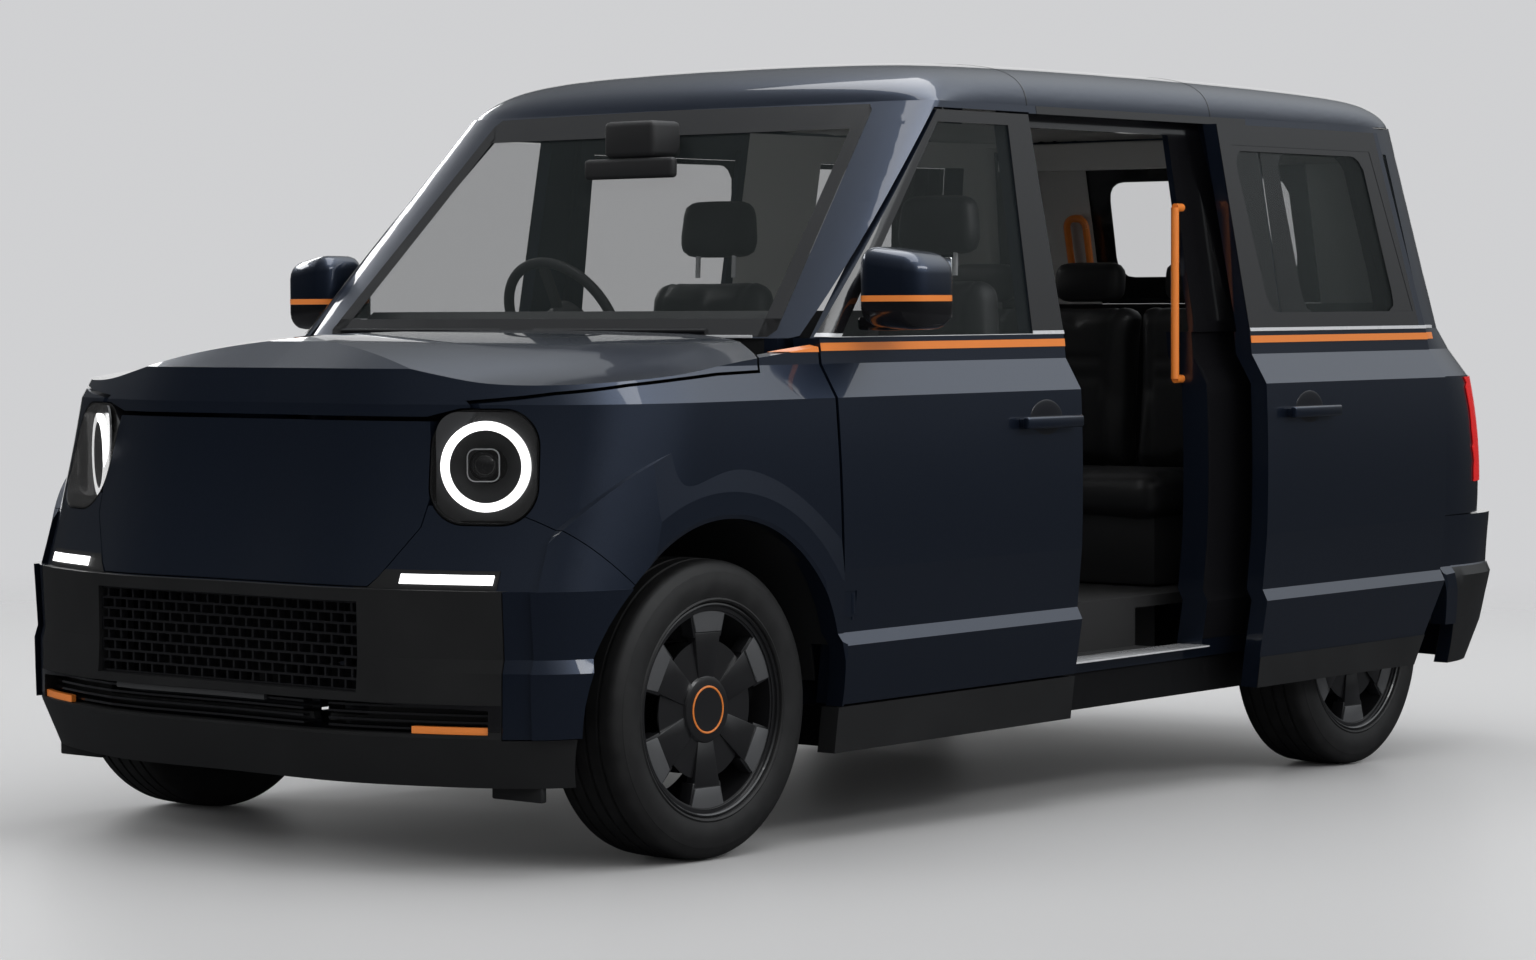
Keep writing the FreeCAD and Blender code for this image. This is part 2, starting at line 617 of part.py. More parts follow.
def front_door_outline(gap):
    """Front door in side view: back and up, grown by gap."""
    screen_low = screen_at(g.belt_z) + g.door_screen_gap
    screen_top = screen_at(g.door_top_z) + g.door_screen_gap + g.pillar_turn - g.door_screen_gap
    return [
        (g.door_front_low - gap, g.panel_bottom_z + g.panel_gap - gap),
        (g.door_front_belt - gap, g.belt_z - gap / 2),
        (screen_low - gap, g.belt_z + gap),
        (screen_top - gap, g.door_top_z + gap),
        (g.door_rear_top + gap, g.door_top_z + gap),
        (g.door_rear_belt + gap, g.belt_z + gap),
        (g.door_rear + gap, g.shoulder_z),
        (g.door_rear + gap, g.panel_bottom_z + g.panel_gap - gap),
    ]


def front_pane_outline(gap):
    """Front door glass in side view."""
    low = g.belt_z + g.panel_gap
    high = g.door_top_z - g.pane_border / 2
    return [
        (screen_at(low) + g.pillar_turn + g.pane_front_border - gap, low - gap),
        (screen_at(high) + g.pillar_turn + g.pane_front_border - gap, high + gap),
        (g.pane_rear_top + gap, high + gap),
        (g.pane_rear_belt + gap, low - gap),
    ]


def slider_outline(gap):
    """Sliding door, shut, in side view."""
    return [
        (g.slider_front - gap, g.slider_foot_z - gap),
        (g.slider_front - gap, g.shoulder_z),
        (g.slider_front_belt - gap, g.belt_z),
        (g.slider_front_top - gap, g.door_top_z + gap),
        (g.slider_rear_top + gap, g.door_top_z + gap),
        (g.slider_rear_belt + gap, g.belt_z),
        (g.slider_rear + gap, g.shoulder_z),
        (g.slider_rear + gap - g.moving_gap, g.crease_z),
        (g.slider_rear_foot + gap, g.slider_foot_z - gap),
    ]


def slider_pane_outline(gap):
    low = g.belt_z + g.quarter_pane_foot
    edge = g.pane_border
    return [
        (g.slider_front_belt + edge - gap, low - gap),
        (g.slider_front_top + edge - gap, g.quarter_pane_top + gap),
        (g.slider_rear_top - edge + gap, g.quarter_pane_top + gap),
        (g.slider_rear_belt - edge + gap, low - gap),
    ]


def quarter_pane_outline(gap):
    low = g.belt_z + g.quarter_pane_foot
    lean = (g.tail_belt - g.tail_top) / 2
    return [
        (g.quarter_pane_front - gap, low - gap),
        (g.quarter_pane_front - gap, g.quarter_pane_top + gap),
        (g.quarter_pane_rear - lean + gap, g.quarter_pane_top + gap),
        (g.quarter_pane_rear + gap, low - gap),
    ]


def glass(points):
    """A pane that lies in the outer face of the glasshouse."""
    return cabin_wall(g.glass_thick).common(side_prism(points))


# Body panels


def bumper_split(gap):
    """Side view area of the front bumper's corner, below the fender."""
    low = g.sill_bottom_z - g.overrun
    lamp_foot = g.lamp_z - g.lamp_side / 3
    return [
        (-g.nose_lip - g.overrun, low), (-g.nose_lip - g.overrun, lamp_foot + gap),
        (-g.lamp_ahead, lamp_foot + gap), (FRONT_HUB[0] - g.arch_radius / 2, FRONT_HUB[1] + g.arch_radius / 2 + gap),
        (FRONT_HUB[0] - g.arch_radius / 2, low),
    ]


# Bonnet crown's control net: shares of the half width, then share of the run and shares of the rise
CROWN_WIDTH_SHARES = (0.0, 0.27, 0.53, 0.64, 0.80, 0.94, 1.09)
CROWN_SHARES = [
    (0.00, (0.82, 0.75, 0.47, 0.40, 0.38, 0.36, 0.30)),
    (0.13, (0.87, 0.81, 0.55, 0.45, 0.42, 0.41, 0.36)),
    (0.20, (0.91, 0.86, 0.65, 0.53, 0.47, 0.45, 0.40)),
    (0.28, (0.97, 0.92, 0.73, 0.60, 0.53, 0.51, 0.45)),
    (0.38, (0.99, 0.96, 0.82, 0.73, 0.58, 0.56, 0.50)),
    (0.58, (1.00, 0.98, 0.92, 0.87, 0.79, 0.64, 0.58)),
    (0.79, (1.00, 0.99, 0.965, 0.95, 0.90, 0.78, 0.68)),
    (1.00, (1.00, 0.995, 0.985, 0.975, 0.95, 0.87, 0.78)),
]


def net_face(rows):
    """A smooth face from a net of control points, of the third degree both ways."""
    def knots(count):
        inner = count - 4
        return [4] + [1] * inner + [4], [i / (inner + 1) for i in range(inner + 2)]

    row_mults, row_knots = knots(len(rows))
    column_mults, column_knots = knots(len(rows[0]))
    surface = Part.BSplineSurface()
    surface.buildFromPolesMultsKnots(rows, row_mults, column_mults, row_knots, column_knots, False, False, 3, 3)
    return surface.toShape()


@lru_cache(maxsize=None)
def crown_mass(drop):
    """Everything under the bonnet's crown, lowered by drop, left half."""
    rows = []
    for run, rises in CROWN_SHARES:
        y = -g.crown_start + (g.crown_start + g.crown_end) * run
        rows.append([Vector(g.half_width * a, y, g.crown_foot_z + g.crown_rise * b - drop)
                     for a, b in zip(CROWN_WIDTH_SHARES, rises)])
    return net_face(rows).extrude(Vector(0, 0, -g.crown_foot_z))


# Bonnet's side shut line: shares of its run and of its rise; rear edge: shares of the half width and of its turn
SIDE_LINE_SHARES = [(0, 0), (0.055, 0.077), (0.23, 0.37), (0.41, 0.63), (0.595, 0.80), (0.78, 0.94), (1, 1)]
REAR_LINE_SHARES = [(0, 0), (0.588, 0.09), (0.791, 0.34), (0.909, 0.77), (0.963, 1)]
BONNET_SIDE = [(-g.side_line_front + (g.side_line_front + g.side_line_rear) * a,
                g.side_line_low + (g.side_line_high - g.side_line_low) * b) for a, b in SIDE_LINE_SHARES]
BONNET_REAR = [(g.half_width * a, g.bonnet_back - g.bonnet_turn * b) for a, b in REAR_LINE_SHARES]


def bonnet_side_area(gap):
    """Side view area above the bonnet's side shut line."""
    high = g.belt_z + g.overrun
    lip = g.bonnet_lip_z - g.skin + gap
    start = -g.lamp_ahead + g.skin - gap
    line = [(y, z + gap) for y, z in BONNET_SIDE if y > start + g.skin]
    return side_prism([(start, lip), (start, BONNET_SIDE[1][1] + gap)] + line
                      + [(g.crown_end, BONNET_SIDE[-1][1] + gap), (g.crown_end, high),
                         (-g.nose_lip - g.overrun, high), (-g.nose_lip - g.overrun, lip)])


def bonnet_plan_area(gap):
    low = g.shoulder_z - g.overrun
    high = g.belt_z + g.overrun
    rear = [(x, y - gap) for x, y in BONNET_REAR]
    wide = g.half_width + g.overrun
    return plan_prism(rear + [(wide, BONNET_REAR[-1][1] - gap), (wide, -g.crown_start - g.overrun),
                              (0, -g.crown_start - g.overrun)], low, high)


def bonnet_front_area(gap):
    """Front view area above the nose panel and the lamps."""
    top = g.belt_z + g.overrun
    edge = g.bonnet_lip_z + gap
    lamp_top = g.lamp_z + g.lamp_side / 2 + gap
    return front_prism([(0, edge), (g.lamp_x - g.lamp_side * 0.63, edge), (g.lamp_x - g.lamp_side * 0.32, lamp_top),
                        (g.half_width + g.overrun, lamp_top + g.skin),
                        (g.half_width + g.overrun, top), (0, top)], -g.nose_lip - g.overrun,
                       g.crown_end)


def make_bonnet():
    outer = TALL_BODY.common(crown_mass(0))
    inner = body_mass(g.skin, True).common(crown_mass(g.skin))
    shell = outer.cut(inner)
    gap = g.moving_gap / 2
    half = shell.common(bonnet_front_area(gap)).common(bonnet_plan_area(gap)).common(bonnet_side_area(gap))
    arm, lug, pin, slot = bonnet_hinge()
    return both_halves(half.cut(slot).fuse([lug, pin]))


def lamp_prism(side, depth_in, depth_out):
    """A rounded square bar along the headlamp's axis."""
    half = side / 2
    corner = g.lamp_corner * side / g.lamp_side
    square = Part.makeBox(side, depth_in + depth_out, side, Vector(-half, -depth_out, -half))
    upright = [e for e in square.Edges if abs(e.tangentAt(e.FirstParameter).y) > 1 - 1e-6]
    bar = square.makeFillet(corner, upright)
    bar.Placement = Placement(Vector(g.lamp_x, -g.lamp_ahead, g.lamp_z), Rotation(Z_AXIS, g.lamp_turn))
    return bar


@lru_cache(maxsize=None)
def upper_nose(thick):
    """Nose and front sides under the bonnet's crown."""
    return TALL_BODY.common(crown_mass(0)).cut(body_mass(thick, True))


def make_fender():
    shell = upper_nose(g.skin)
    door = front_door_outline(g.door_gap)
    rear = [(door[0][0], g.panel_bottom_z), (door[1][0], g.upper_shoulder_z), (door[1][0], g.belt_z + g.overrun)]
    front = -g.nose_lip - g.overrun
    area = side_prism([(front, g.panel_bottom_z)] + rear + [(front, g.belt_z + g.overrun)],
                      inner=g.lamp_x - g.lamp_side)
    shell = shell.common(area)
    flare = arch_flare(FRONT_HUB).common(area).cut(nose_core(0))
    shell = shell.fuse(flare)
    shell = shell.cut(disc_at(FRONT_HUB, g.arch_radius, g.liner_inner_x, g.half_width + g.overrun))
    shell = shell.cut(side_prism(bumper_split(g.panel_gap / 2)))
    top = bonnet_front_area(-g.moving_gap / 2).common(bonnet_side_area(-g.moving_gap * 0.7))
    shell = shell.cut(top.common(bonnet_plan_area(-g.moving_gap * 0.7)))
    shell = shell.cut(lamp_prism(g.lamp_side + 2 * g.panel_gap, g.overrun, g.overrun))
    shell = shell.cut(front_prism(nose_panel_points(g.panel_gap / 2), -g.nose_lip - g.overrun, 0))
    shell = shell.cut(plan_prism([(0, 0), (g.cowl_half + g.panel_gap, 0), (g.cowl_half + g.panel_gap, g.wheelbase),
                                  (0, g.wheelbase)], g.shoulder_z, g.belt_z + g.overrun))
    return max(shell.Solids, key=lambda piece: piece.Volume)


def make_cowl():
    """Sunk black panel behind the bonnet, with its upstand under the windscreen."""
    foot = g.bulkhead_top_z + g.fit_gap
    tray = Part.makeBox(g.cowl_half, g.screen_foot + g.cowl_depth - g.bonnet_back + g.skin, g.bulkhead_thick,
                        Vector(0, g.bonnet_back - g.skin, foot))
    strip = cabin_prism(g.moving_gap, foot, g.belt_z - g.fit_gap)
    strip = strip.cut(cabin_prism(g.moving_gap + g.bulkhead_thick, foot, g.belt_z - g.fit_gap))
    tray = tray.cut(cabin_prism(g.moving_gap + g.bulkhead_thick, foot - g.fit_gap, g.belt_z))
    tray = tray.fuse(strip.common(Part.makeBox(g.cowl_half, g.cowl_depth, g.belt_z, Vector(0, g.screen_foot, 0))))
    room = g.eye_radius + g.moving_gap
    slot = Part.makeBox(g.hinge_half + 2 * g.moving_gap, g.cowl_depth, 2 * room,
                        Vector(g.bonnet_hinge_x - g.hinge_half / 2 - g.moving_gap, g.screen_foot, g.bonnet_axis_z - room))
    return both_halves(tray.cut(slot))


# Nose panel's side edge: shares of its half width and of its height
NOSE_PANEL_SHARES = [(0.80, 0), (0.84, 0.06), (0.98, 0.36), (1.0, 0.59), (0.94, 1)]


def nose_panel_points(gap):
    """Front view outline of the blank nose panel, left half."""
    low = g.bumper_top_z + g.panel_gap
    high = g.bonnet_lip_z - g.moving_gap
    points = [(g.nose_panel_half * a + gap, low + (high - low) * b) for a, b in NOSE_PANEL_SHARES]
    return ([(0, low - gap), (points[0][0], low - gap)] + points[1:-1]
            + [(points[-1][0], high + gap), (0, high + gap)])


def make_nose_panel():
    area = front_prism(nose_panel_points(-g.panel_gap / 2), -g.nose_lip - g.overrun, 0)
    half = upper_nose(g.skin).common(area)
    half = half.cut(lamp_prism(g.lamp_side + 2 * g.panel_gap, g.overrun, g.overrun))
    return both_halves(half)


@lru_cache(maxsize=None)
def nose_core(gap):
    """Room behind the bumper's moulding and, above it, behind the fenders, left half."""
    reach = Part.makeBox(g.half_width, g.nose_lip + g.wheelbase, g.bumper_top_z + g.skin, Vector(0, -g.nose_lip, 0))
    return body_mass(g.bumper_wall + gap).common(reach).fuse(body_mass(g.skin + gap).cut(reach))


def make_bumper_corner():
    area = side_prism(bumper_split(-g.panel_gap / 2)).common(
        front_prism([(0, g.panel_bottom_z), (g.half_width + g.overrun, g.panel_bottom_z),
                     (g.half_width + g.overrun, g.lamp_z), (0, g.lamp_z)], -g.nose_lip - g.overrun, 0))
    shell = BODY.common(area).cut(nose_core(0))
    shell = shell.cut(disc_at(FRONT_HUB, g.arch_radius, g.liner_inner_x, g.half_width + g.overrun))
    shell = shell.fuse(arch_flare(FRONT_HUB).common(area).cut(nose_core(0)))
    edge = g.bumper_half + g.panel_gap
    dark = front_prism([(0, 0), (edge, 0), (edge, g.bumper_top_z), (0, g.bumper_top_z)], -g.nose_lip - g.overrun, 0)
    shell = shell.cut(dark)
    shell = shell.cut(front_prism(nose_panel_points(g.panel_gap / 2), -g.nose_lip - g.overrun, 0))
    shell = shell.cut(lamp_prism(g.lamp_side + 2 * g.panel_gap, g.overrun, g.overrun))
    return shell


def towing_way():
    """Round way ahead of the towing socket, level with the ground."""
    way = Part.makeCylinder(g.horn_radius, g.nose_lip, Vector(g.horn_x, -g.horn_reach, g.horn_z), -Y_AXIS)
    way.Placement = STANCE.inverse().multiply(GROUND)
    return way


def make_front_bumper():
    """Dark moulding: boxes beside the grille, the slot under it and the lip right across."""
    wall = body_wall(g.bumper_wall)
    seam = g.panel_bottom_z - g.panel_gap
    top = g.bumper_top_z
    upper = wall.common(front_prism([(0, seam), (g.bumper_half, seam), (g.bumper_half, top), (0, top)],
                                    -g.nose_lip - g.overrun, 0))
    rear = FRONT_HUB[0] - g.arch_radius * 0.75
    lower = wall.common(side_prism([(-g.nose_lip - g.overrun, g.sill_bottom_z), (-g.nose_lip - g.overrun, seam),
                                    (rear, seam), (rear, g.sill_bottom_z)]))
    half = upper.fuse(lower)
    half = half.cut(disc_at(FRONT_HUB, g.arch_radius, 0, g.half_width + g.overrun))
    grille = front_prism([(0, g.grille_low_z), (g.grille_half, g.grille_low_z), (g.grille_half, g.grille_high_z),
                          (0, g.grille_high_z)], -g.nose_lip - g.overrun, 0)
    edge = g.bumper_half - g.skin
    slot = front_prism([(0, g.slot_low_z), (edge, g.slot_low_z + g.panel_gap), (edge, g.slot_high_z - g.skin / 2),
                        (g.grille_half, g.slot_high_z), (0, g.slot_high_z)], -g.nose_lip - g.overrun, 0)
    half = half.cut(grille).cut(slot)
    return both_halves(half).cut(towing_way())



def make_grille():
    """Mesh of staggered bars that fills the bumper's grille opening."""
    bars = []
    pitch = (g.grille_high_z - g.grille_low_z - g.grille_bar) / g.grille_rows
    front = g.grille_depth - g.nose_bumper
    half = g.grille_half - g.fit_gap
    for row in range(int(g.grille_rows) + 1):
        bars.append(Part.makeBox(2 * half, g.grille_depth, g.grille_bar - 2 * g.fit_gap,
                                 Vector(-half, front, g.grille_low_z + g.fit_gap + pitch * row)))
    step = (2 * half - g.grille_bar) / g.grille_columns
    for row in range(int(g.grille_rows)):
        shift = step / 2 * (row % 2)
        for column in range(int(g.grille_columns) + 1 - row % 2):
            bars.append(Part.makeBox(g.grille_bar, g.grille_depth, pitch,
                                     Vector(-half + shift + step * column, front, g.grille_low_z + pitch * row + g.fit_gap)))
    return bars[0].multiFuse(bars[1:]).removeSplitter()


def make_front_door():
    lower = body_wall(g.door_thick).common(side_prism(front_door_outline(0)[0:2] + front_door_outline(0)[5:]))
    low_x = cabin_half(g.belt_z) - g.frame_thick
    top_x = cabin_half(g.cant_z) - g.frame_thick
    side_room = front_prism([(low_x, g.belt_z), (g.half_width, g.belt_z), (g.half_width, g.cant_z), (top_x, g.cant_z)],
                            g.door_front_belt, g.door_rear)
    upper = cabin_wall(g.frame_thick).common(side_prism(front_door_outline(0))).common(side_room)
    pane = side_prism(front_pane_outline(g.bearing_gap))
    door = lower.fuse(upper.cut(pane))
    for z in (g.hinge_low_z, g.hinge_high_z):
        arm, pocket, pin = door_hinge(z)
        door = door.cut(pocket).fuse(pin)
    return door


def make_slider():
    area = side_prism(slider_outline(0))
    lower = body_wall(g.slider_thick).common(area)
    upper = cabin_wall(g.frame_thick).common(area).cut(side_prism(slider_pane_outline(g.bearing_gap)))
    return lower.fuse(upper)


def make_body_side():
    """Pillars, roof edge and rear quarter of the left side as one pressing."""
    front_edge = g.door_front_belt - g.moving_gap
    low = g.panel_bottom_z + g.panel_gap
    quarter_edge = g.slider_rear + g.panel_gap
    quarter = body_wall(g.quarter_thick).common(side_prism(
        [(quarter_edge, low), (quarter_edge, g.belt_z), (g.tail_bumper + g.overrun, g.belt_z),
         (g.tail_bumper + g.overrun, low)]))
    quarter = quarter.cut(disc_at(REAR_HUB, g.arch_radius, 0, g.half_width + g.overrun))
    housing = g.liner_radius + g.liner_thick + g.fit_gap
    quarter = quarter.cut(disc_at(REAR_HUB, housing, 0, g.half_width).common(body_mass(g.bumper_wall)))
    flare_area = side_prism([(quarter_edge, low), (quarter_edge, g.belt_z), (REAR_HUB[0] + g.flare_radius, g.belt_z),
                             (REAR_HUB[0] + g.flare_radius, low)])
    quarter = quarter.fuse(arch_flare(REAR_HUB).common(flare_area).cut(body_mass(g.bumper_wall)))
    cabin = cabin_wall(g.pillar_thick)
    frame = cabin.common(side_prism([(screen_at(g.belt_z) - g.skin, g.belt_z),
                                     (screen_at(g.cant_z) - g.skin, g.cant_z),
                                     (g.tail_belt + g.overrun, g.cant_z), (g.tail_belt + g.overrun, g.belt_z)],
                                    inner=0))
    screen = front_prism(screen_points(0), 0, g.wheelbase / 2)
    frame = frame.cut(screen)
    frame = frame.cut(side_prism(front_door_outline(g.moving_gap)))
    frame = frame.cut(side_prism(quarter_pane_outline(g.bearing_gap)))
    recess = side_prism(slider_outline(g.panel_gap))
    frame = frame.cut(cabin_wall(g.frame_thick + g.panel_gap).common(recess))
    doorway = [(g.door_rear + g.skin, g.doorway_foot_z), (g.door_rear + g.skin, g.shoulder_z),
               (g.door_rear_belt + g.pillar_thick, g.belt_z), (g.door_rear_top + g.pillar_thick, g.doorway_top_z),
               (g.doorway_rear, g.doorway_top_z), (g.doorway_rear, g.doorway_foot_z)]
    frame = frame.cut(side_prism(doorway))
    inner_wall = body_wall(g.quarter_thick + g.skin).cut(body_wall(g.slider_thick + g.moving_gap))
    post = inner_wall.common(side_prism(
        [(g.door_rear - g.frame_thick, g.step_z - g.step_thick), (g.door_rear - g.frame_thick, g.belt_z),
         (g.slider_rear + g.panel_gap, g.belt_z), (g.slider_rear + g.panel_gap, g.step_z - g.step_thick)]))
    post = post.cut(side_prism(doorway))
    post = post.cut(side_prism(front_door_outline(g.moving_gap)))
    post = post.cut(disc_at(REAR_HUB, housing, 0, g.half_width + g.overrun))
    side = quarter.fuse([frame, post])
    gate = front_prism(tailgate_points(g.moving_gap), g.tail_top - g.tail_depth / 2, g.tail_bumper + g.overrun)
    side = side.cut(gate)
    lamp = side_prism(tail_lamp_outline(g.panel_gap / 2), inner=g.tailgate_half)
    side = side.cut(body_wall(g.skin + g.fit_gap).common(lamp))
    bumper = side_prism(bumper_area(g.panel_gap), inner=0)
    bumper = bumper.cut(disc_at(REAR_HUB, g.arch_lip_radius - g.panel_gap, 0, g.half_width + g.overrun))
    side = side.cut(FLARE_MASS.cut(body_mass(g.bumper_wall + 2 * g.bearing_gap)).common(bumper))
    hinge_post = Part.makeBox(g.post_outer - g.post_inner, g.post_length, g.belt_z - g.step_z + g.step_thick,
                              Vector(g.post_inner, g.post_front, g.step_z - g.step_thick))
    brace = Part.makeBox(g.post_outer - g.post_inner, g.post_front - g.screen_foot, g.belt_z - g.bulkhead_top_z,
                         Vector(g.post_inner, g.screen_foot, g.bulkhead_top_z))
    foot = Part.makeBox(g.post_outer - g.post_inner, g.post_front - g.screen_foot, g.pillar_thick / 2,
                        Vector(g.post_inner, g.screen_foot, g.belt_z))
    foot = foot.common(CABIN).cut(screen)
    arms = [door_hinge(z)[0] for z in (g.hinge_low_z, g.hinge_high_z)]
    gate_arm = gate_hinge()[0]
    return side.fuse([hinge_post, brace, foot, gate_arm] + arms)


def door_hinge(z):
    """A front door hinge: the post's arm with its eye, the door's pocket around it, and the pin."""
    x, y = g.hinge_x, g.hinge_back
    low = Vector(x, y, z - g.hinge_half)
    arm = Part.makeBox(x - g.post_outer, 2 * g.eye_radius, 2 * g.hinge_half,
                       Vector(g.post_outer, y - g.eye_radius, z - g.hinge_half))
    arm = arm.fuse(Part.makeCylinder(g.eye_radius, 2 * g.hinge_half, low))
    arm = arm.cut(Part.makeCylinder(g.pin_radius + g.fit_gap, 2 * g.hinge_half, low))
    room = g.panel_gap + g.eye_radius
    pocket = Part.makeBox(x + g.eye_radius + 2 * g.bearing_gap - g.post_outer, room + g.overrun, 2 * (g.hinge_half + g.moving_gap),
                          Vector(g.post_outer, y - g.overrun, z - g.hinge_half - g.moving_gap))
    long = g.hinge_half + g.moving_gap + g.eye_radius
    pin = Part.makeCylinder(g.pin_radius, 2 * long, Vector(x, y, z - long))
    return arm, pocket, pin


def gate_hinge():
    """A tailgate hinge under the roof's rear edge, left side: arm, notch and pin."""
    y, z = g.gate_axis_back, g.gate_axis_z
    half = g.hinge_half / 2
    start = Vector(g.gate_hinge_x - half, y, z)
    arm = Part.makeBox(2 * half, 2 * g.eye_radius, g.cant_z - z, start - Vector(0, g.eye_radius, 0))
    arm = arm.fuse(Part.makeCylinder(g.eye_radius, 2 * half, start, X_AXIS))
    arm = arm.cut(Part.makeCylinder(g.pin_radius + g.fit_gap, 2 * half, start, X_AXIS))
    room = g.eye_radius + 2 * g.bearing_gap
    notch = Part.makeBox(2 * (half + g.panel_gap), g.overrun, g.overrun,
                         Vector(g.gate_hinge_x - half - g.panel_gap, y - room, z - room))
    long = half + g.panel_gap + g.eye_radius
    pin = Part.makeCylinder(g.pin_radius, 2 * long, Vector(g.gate_hinge_x - long, y, z), X_AXIS)
    return arm, notch, pin


def bonnet_hinge():
    """A bonnet hinge, left side: the bulkhead's arm, the bonnet's lug, the pin in it and the arm's slot."""
    y, z = g.bonnet_axis_back, g.bonnet_axis_z
    half = g.hinge_half / 2
    start = Vector(g.bonnet_hinge_x - half, y, z)
    arm = Part.makeBox(2 * half, g.post_front - y, g.eye_radius, start - Vector(0, 0, g.eye_radius))
    stand = Part.makeBox(2 * half, 2 * half, z - g.bulkhead_top_z + g.bulkhead_thick,
                         Vector(g.bonnet_hinge_x - half, g.post_front - 2 * half, g.bulkhead_top_z - g.bulkhead_thick))
    arm = arm.fuse(stand)
    arm = arm.fuse(Part.makeCylinder(g.eye_radius, 2 * half, start, X_AXIS))
    arm = arm.cut(Part.makeCylinder(g.pin_radius + g.fit_gap, 2 * half, start, X_AXIS))
    lug = Part.makeBox(half, 2 * g.eye_radius, g.skin / 2 + 2 * g.eye_radius,
                       Vector(g.bonnet_hinge_x + half + g.bearing_gap, y - g.eye_radius, z - g.eye_radius))
    pin = Part.makeCylinder(g.pin_radius, 3 * half + g.bearing_gap, start, X_AXIS)
    room = g.eye_radius + 2 * g.bearing_gap
    slot = Part.makeBox(2 * (half + g.panel_gap), g.overrun, g.skin + 4 * g.eye_radius,
                        Vector(g.bonnet_hinge_x - half - g.panel_gap, y - room, z - g.skin - g.eye_radius))
    return arm, lug, pin, slot


def bumper_area(gap):
    """Side view area of the rear bumper."""
    front = REAR_HUB[0] + g.arch_radius / 2
    return [(front, g.sill_bottom_z), (front, g.tail_bumper_z + gap),
            (g.tail_bumper + g.overrun, g.tail_bumper_z + gap), (g.tail_bumper + g.overrun, g.sill_bottom_z)]


def make_front_carrier():
    """Moulded front end carrier that holds the nose panels, lamps and bumper."""
    def band(low, high, wall):
        outer = body_mass(wall + g.fit_gap)
        ring = outer.cut(body_mass(wall + g.fit_gap + g.carrier_thick))
        rear = FRONT_HUB[0] - g.liner_radius - g.liner_thick - g.fit_gap
        return ring.common(side_prism([(-g.nose_lip, low), (-g.nose_lip, high), (rear, high), (rear, low)], inner=0))

    low = band(g.panel_bottom_z + g.skin, g.bumper_top_z - g.skin, g.bumper_wall)
    middle = band(g.bumper_top_z - g.skin, g.bumper_top_z + g.skin, g.bumper_wall + g.fit_gap)
    high = band(g.bumper_top_z + g.skin, g.lamp_z + g.skin, g.skin)
    half = low.fuse([middle, high])
    half = half.cut(lamp_prism(g.lamp_side + 2 * g.fit_gap, g.overrun, g.overrun))
    low = g.panel_bottom_z + g.bumper_wall
    window = front_prism([(0, low), (g.grille_half, low), (g.grille_half, g.grille_high_z), (0, g.grille_high_z)],
                         -g.nose_lip - g.overrun, 0)
    foot = g.bumper_top_z + 2 * g.skin
    rail = Part.makeBox(g.rail_side, g.nose_lip + g.post_front - g.bulkhead_thick - g.fit_gap, g.rail_side,
                        Vector(g.rail_x, -g.nose_lip, foot))
    half = half.cut(window).fuse(rail.common(body_mass(g.skin + g.fit_gap)))
    return both_halves(half).cut(towing_way())


def screen_points(gap):
    """Front view outline of the windscreen, left half."""
    low = g.belt_z + g.panel_gap
    corner = g.screen_corner
    high = g.cant_z - g.panel_gap * 2
    return [(0, low - gap), (g.screen_low_half - corner + gap, low - gap), (g.screen_low_half + gap, low + corner),
            (g.screen_high_half + gap, high - corner), (g.screen_high_half - corner + gap, high + gap),
            (0, g.cant_z + gap)]


def tailgate_points(gap):
    """Rear view outline of the tailgate, left half."""
    half = g.tailgate_half
    low = g.tail_bumper_z + g.moving_gap - gap
    high = g.cant_z - g.gate_top_drop + gap * 2
    return [(0, low), (half + gap, low), (half + gap, g.belt_z), (half - g.pane_border + gap, high), (0, high)]


def hatch_pane_points(gap):
    half = g.hatch_pane_half
    low = g.hatch_pane_low - gap
    high = g.hatch_pane_high + gap
    return [(0, low), (half + gap, low), (half - g.pane_border / 2 + gap, high), (0, high)]


def tail_lamp_outline(gap):
    """Side view outline of the tail lamp."""
    front = g.tail_shoulder - g.pane_border - gap
    return [(front, g.tail_lamp_low - gap), (front - g.skin / 2, g.tail_lamp_high + gap),
            (g.tail_bumper, g.tail_lamp_high + gap), (g.tail_bumper, g.tail_lamp_low - gap)]


def make_tailgate():
    area = front_prism(tailgate_points(0), g.tail_top - g.tail_depth / 2, g.tail_bumper + g.overrun)
    lower = body_wall(g.door_thick).common(area)
    upper = cabin_wall(g.frame_thick).common(area)
    half = lower.fuse(upper)
    half = half.cut(front_prism(hatch_pane_points(g.bearing_gap), 0, g.tail_bumper + g.overrun))
    lamps = side_prism(tail_lamp_outline(g.moving_gap), inner=g.tailgate_half)
    arm, notch, pin = gate_hinge()
    return both_halves(half.cut(lamps).cut(notch).fuse(pin))


def make_rear_bumper():
    wall = body_wall(g.bumper_wall)
    half = wall.common(side_prism(bumper_area(0), inner=0))
    half = half.cut(disc_at(REAR_HUB, g.arch_lip_radius, 0, g.half_width + g.overrun))
    return both_halves(half)


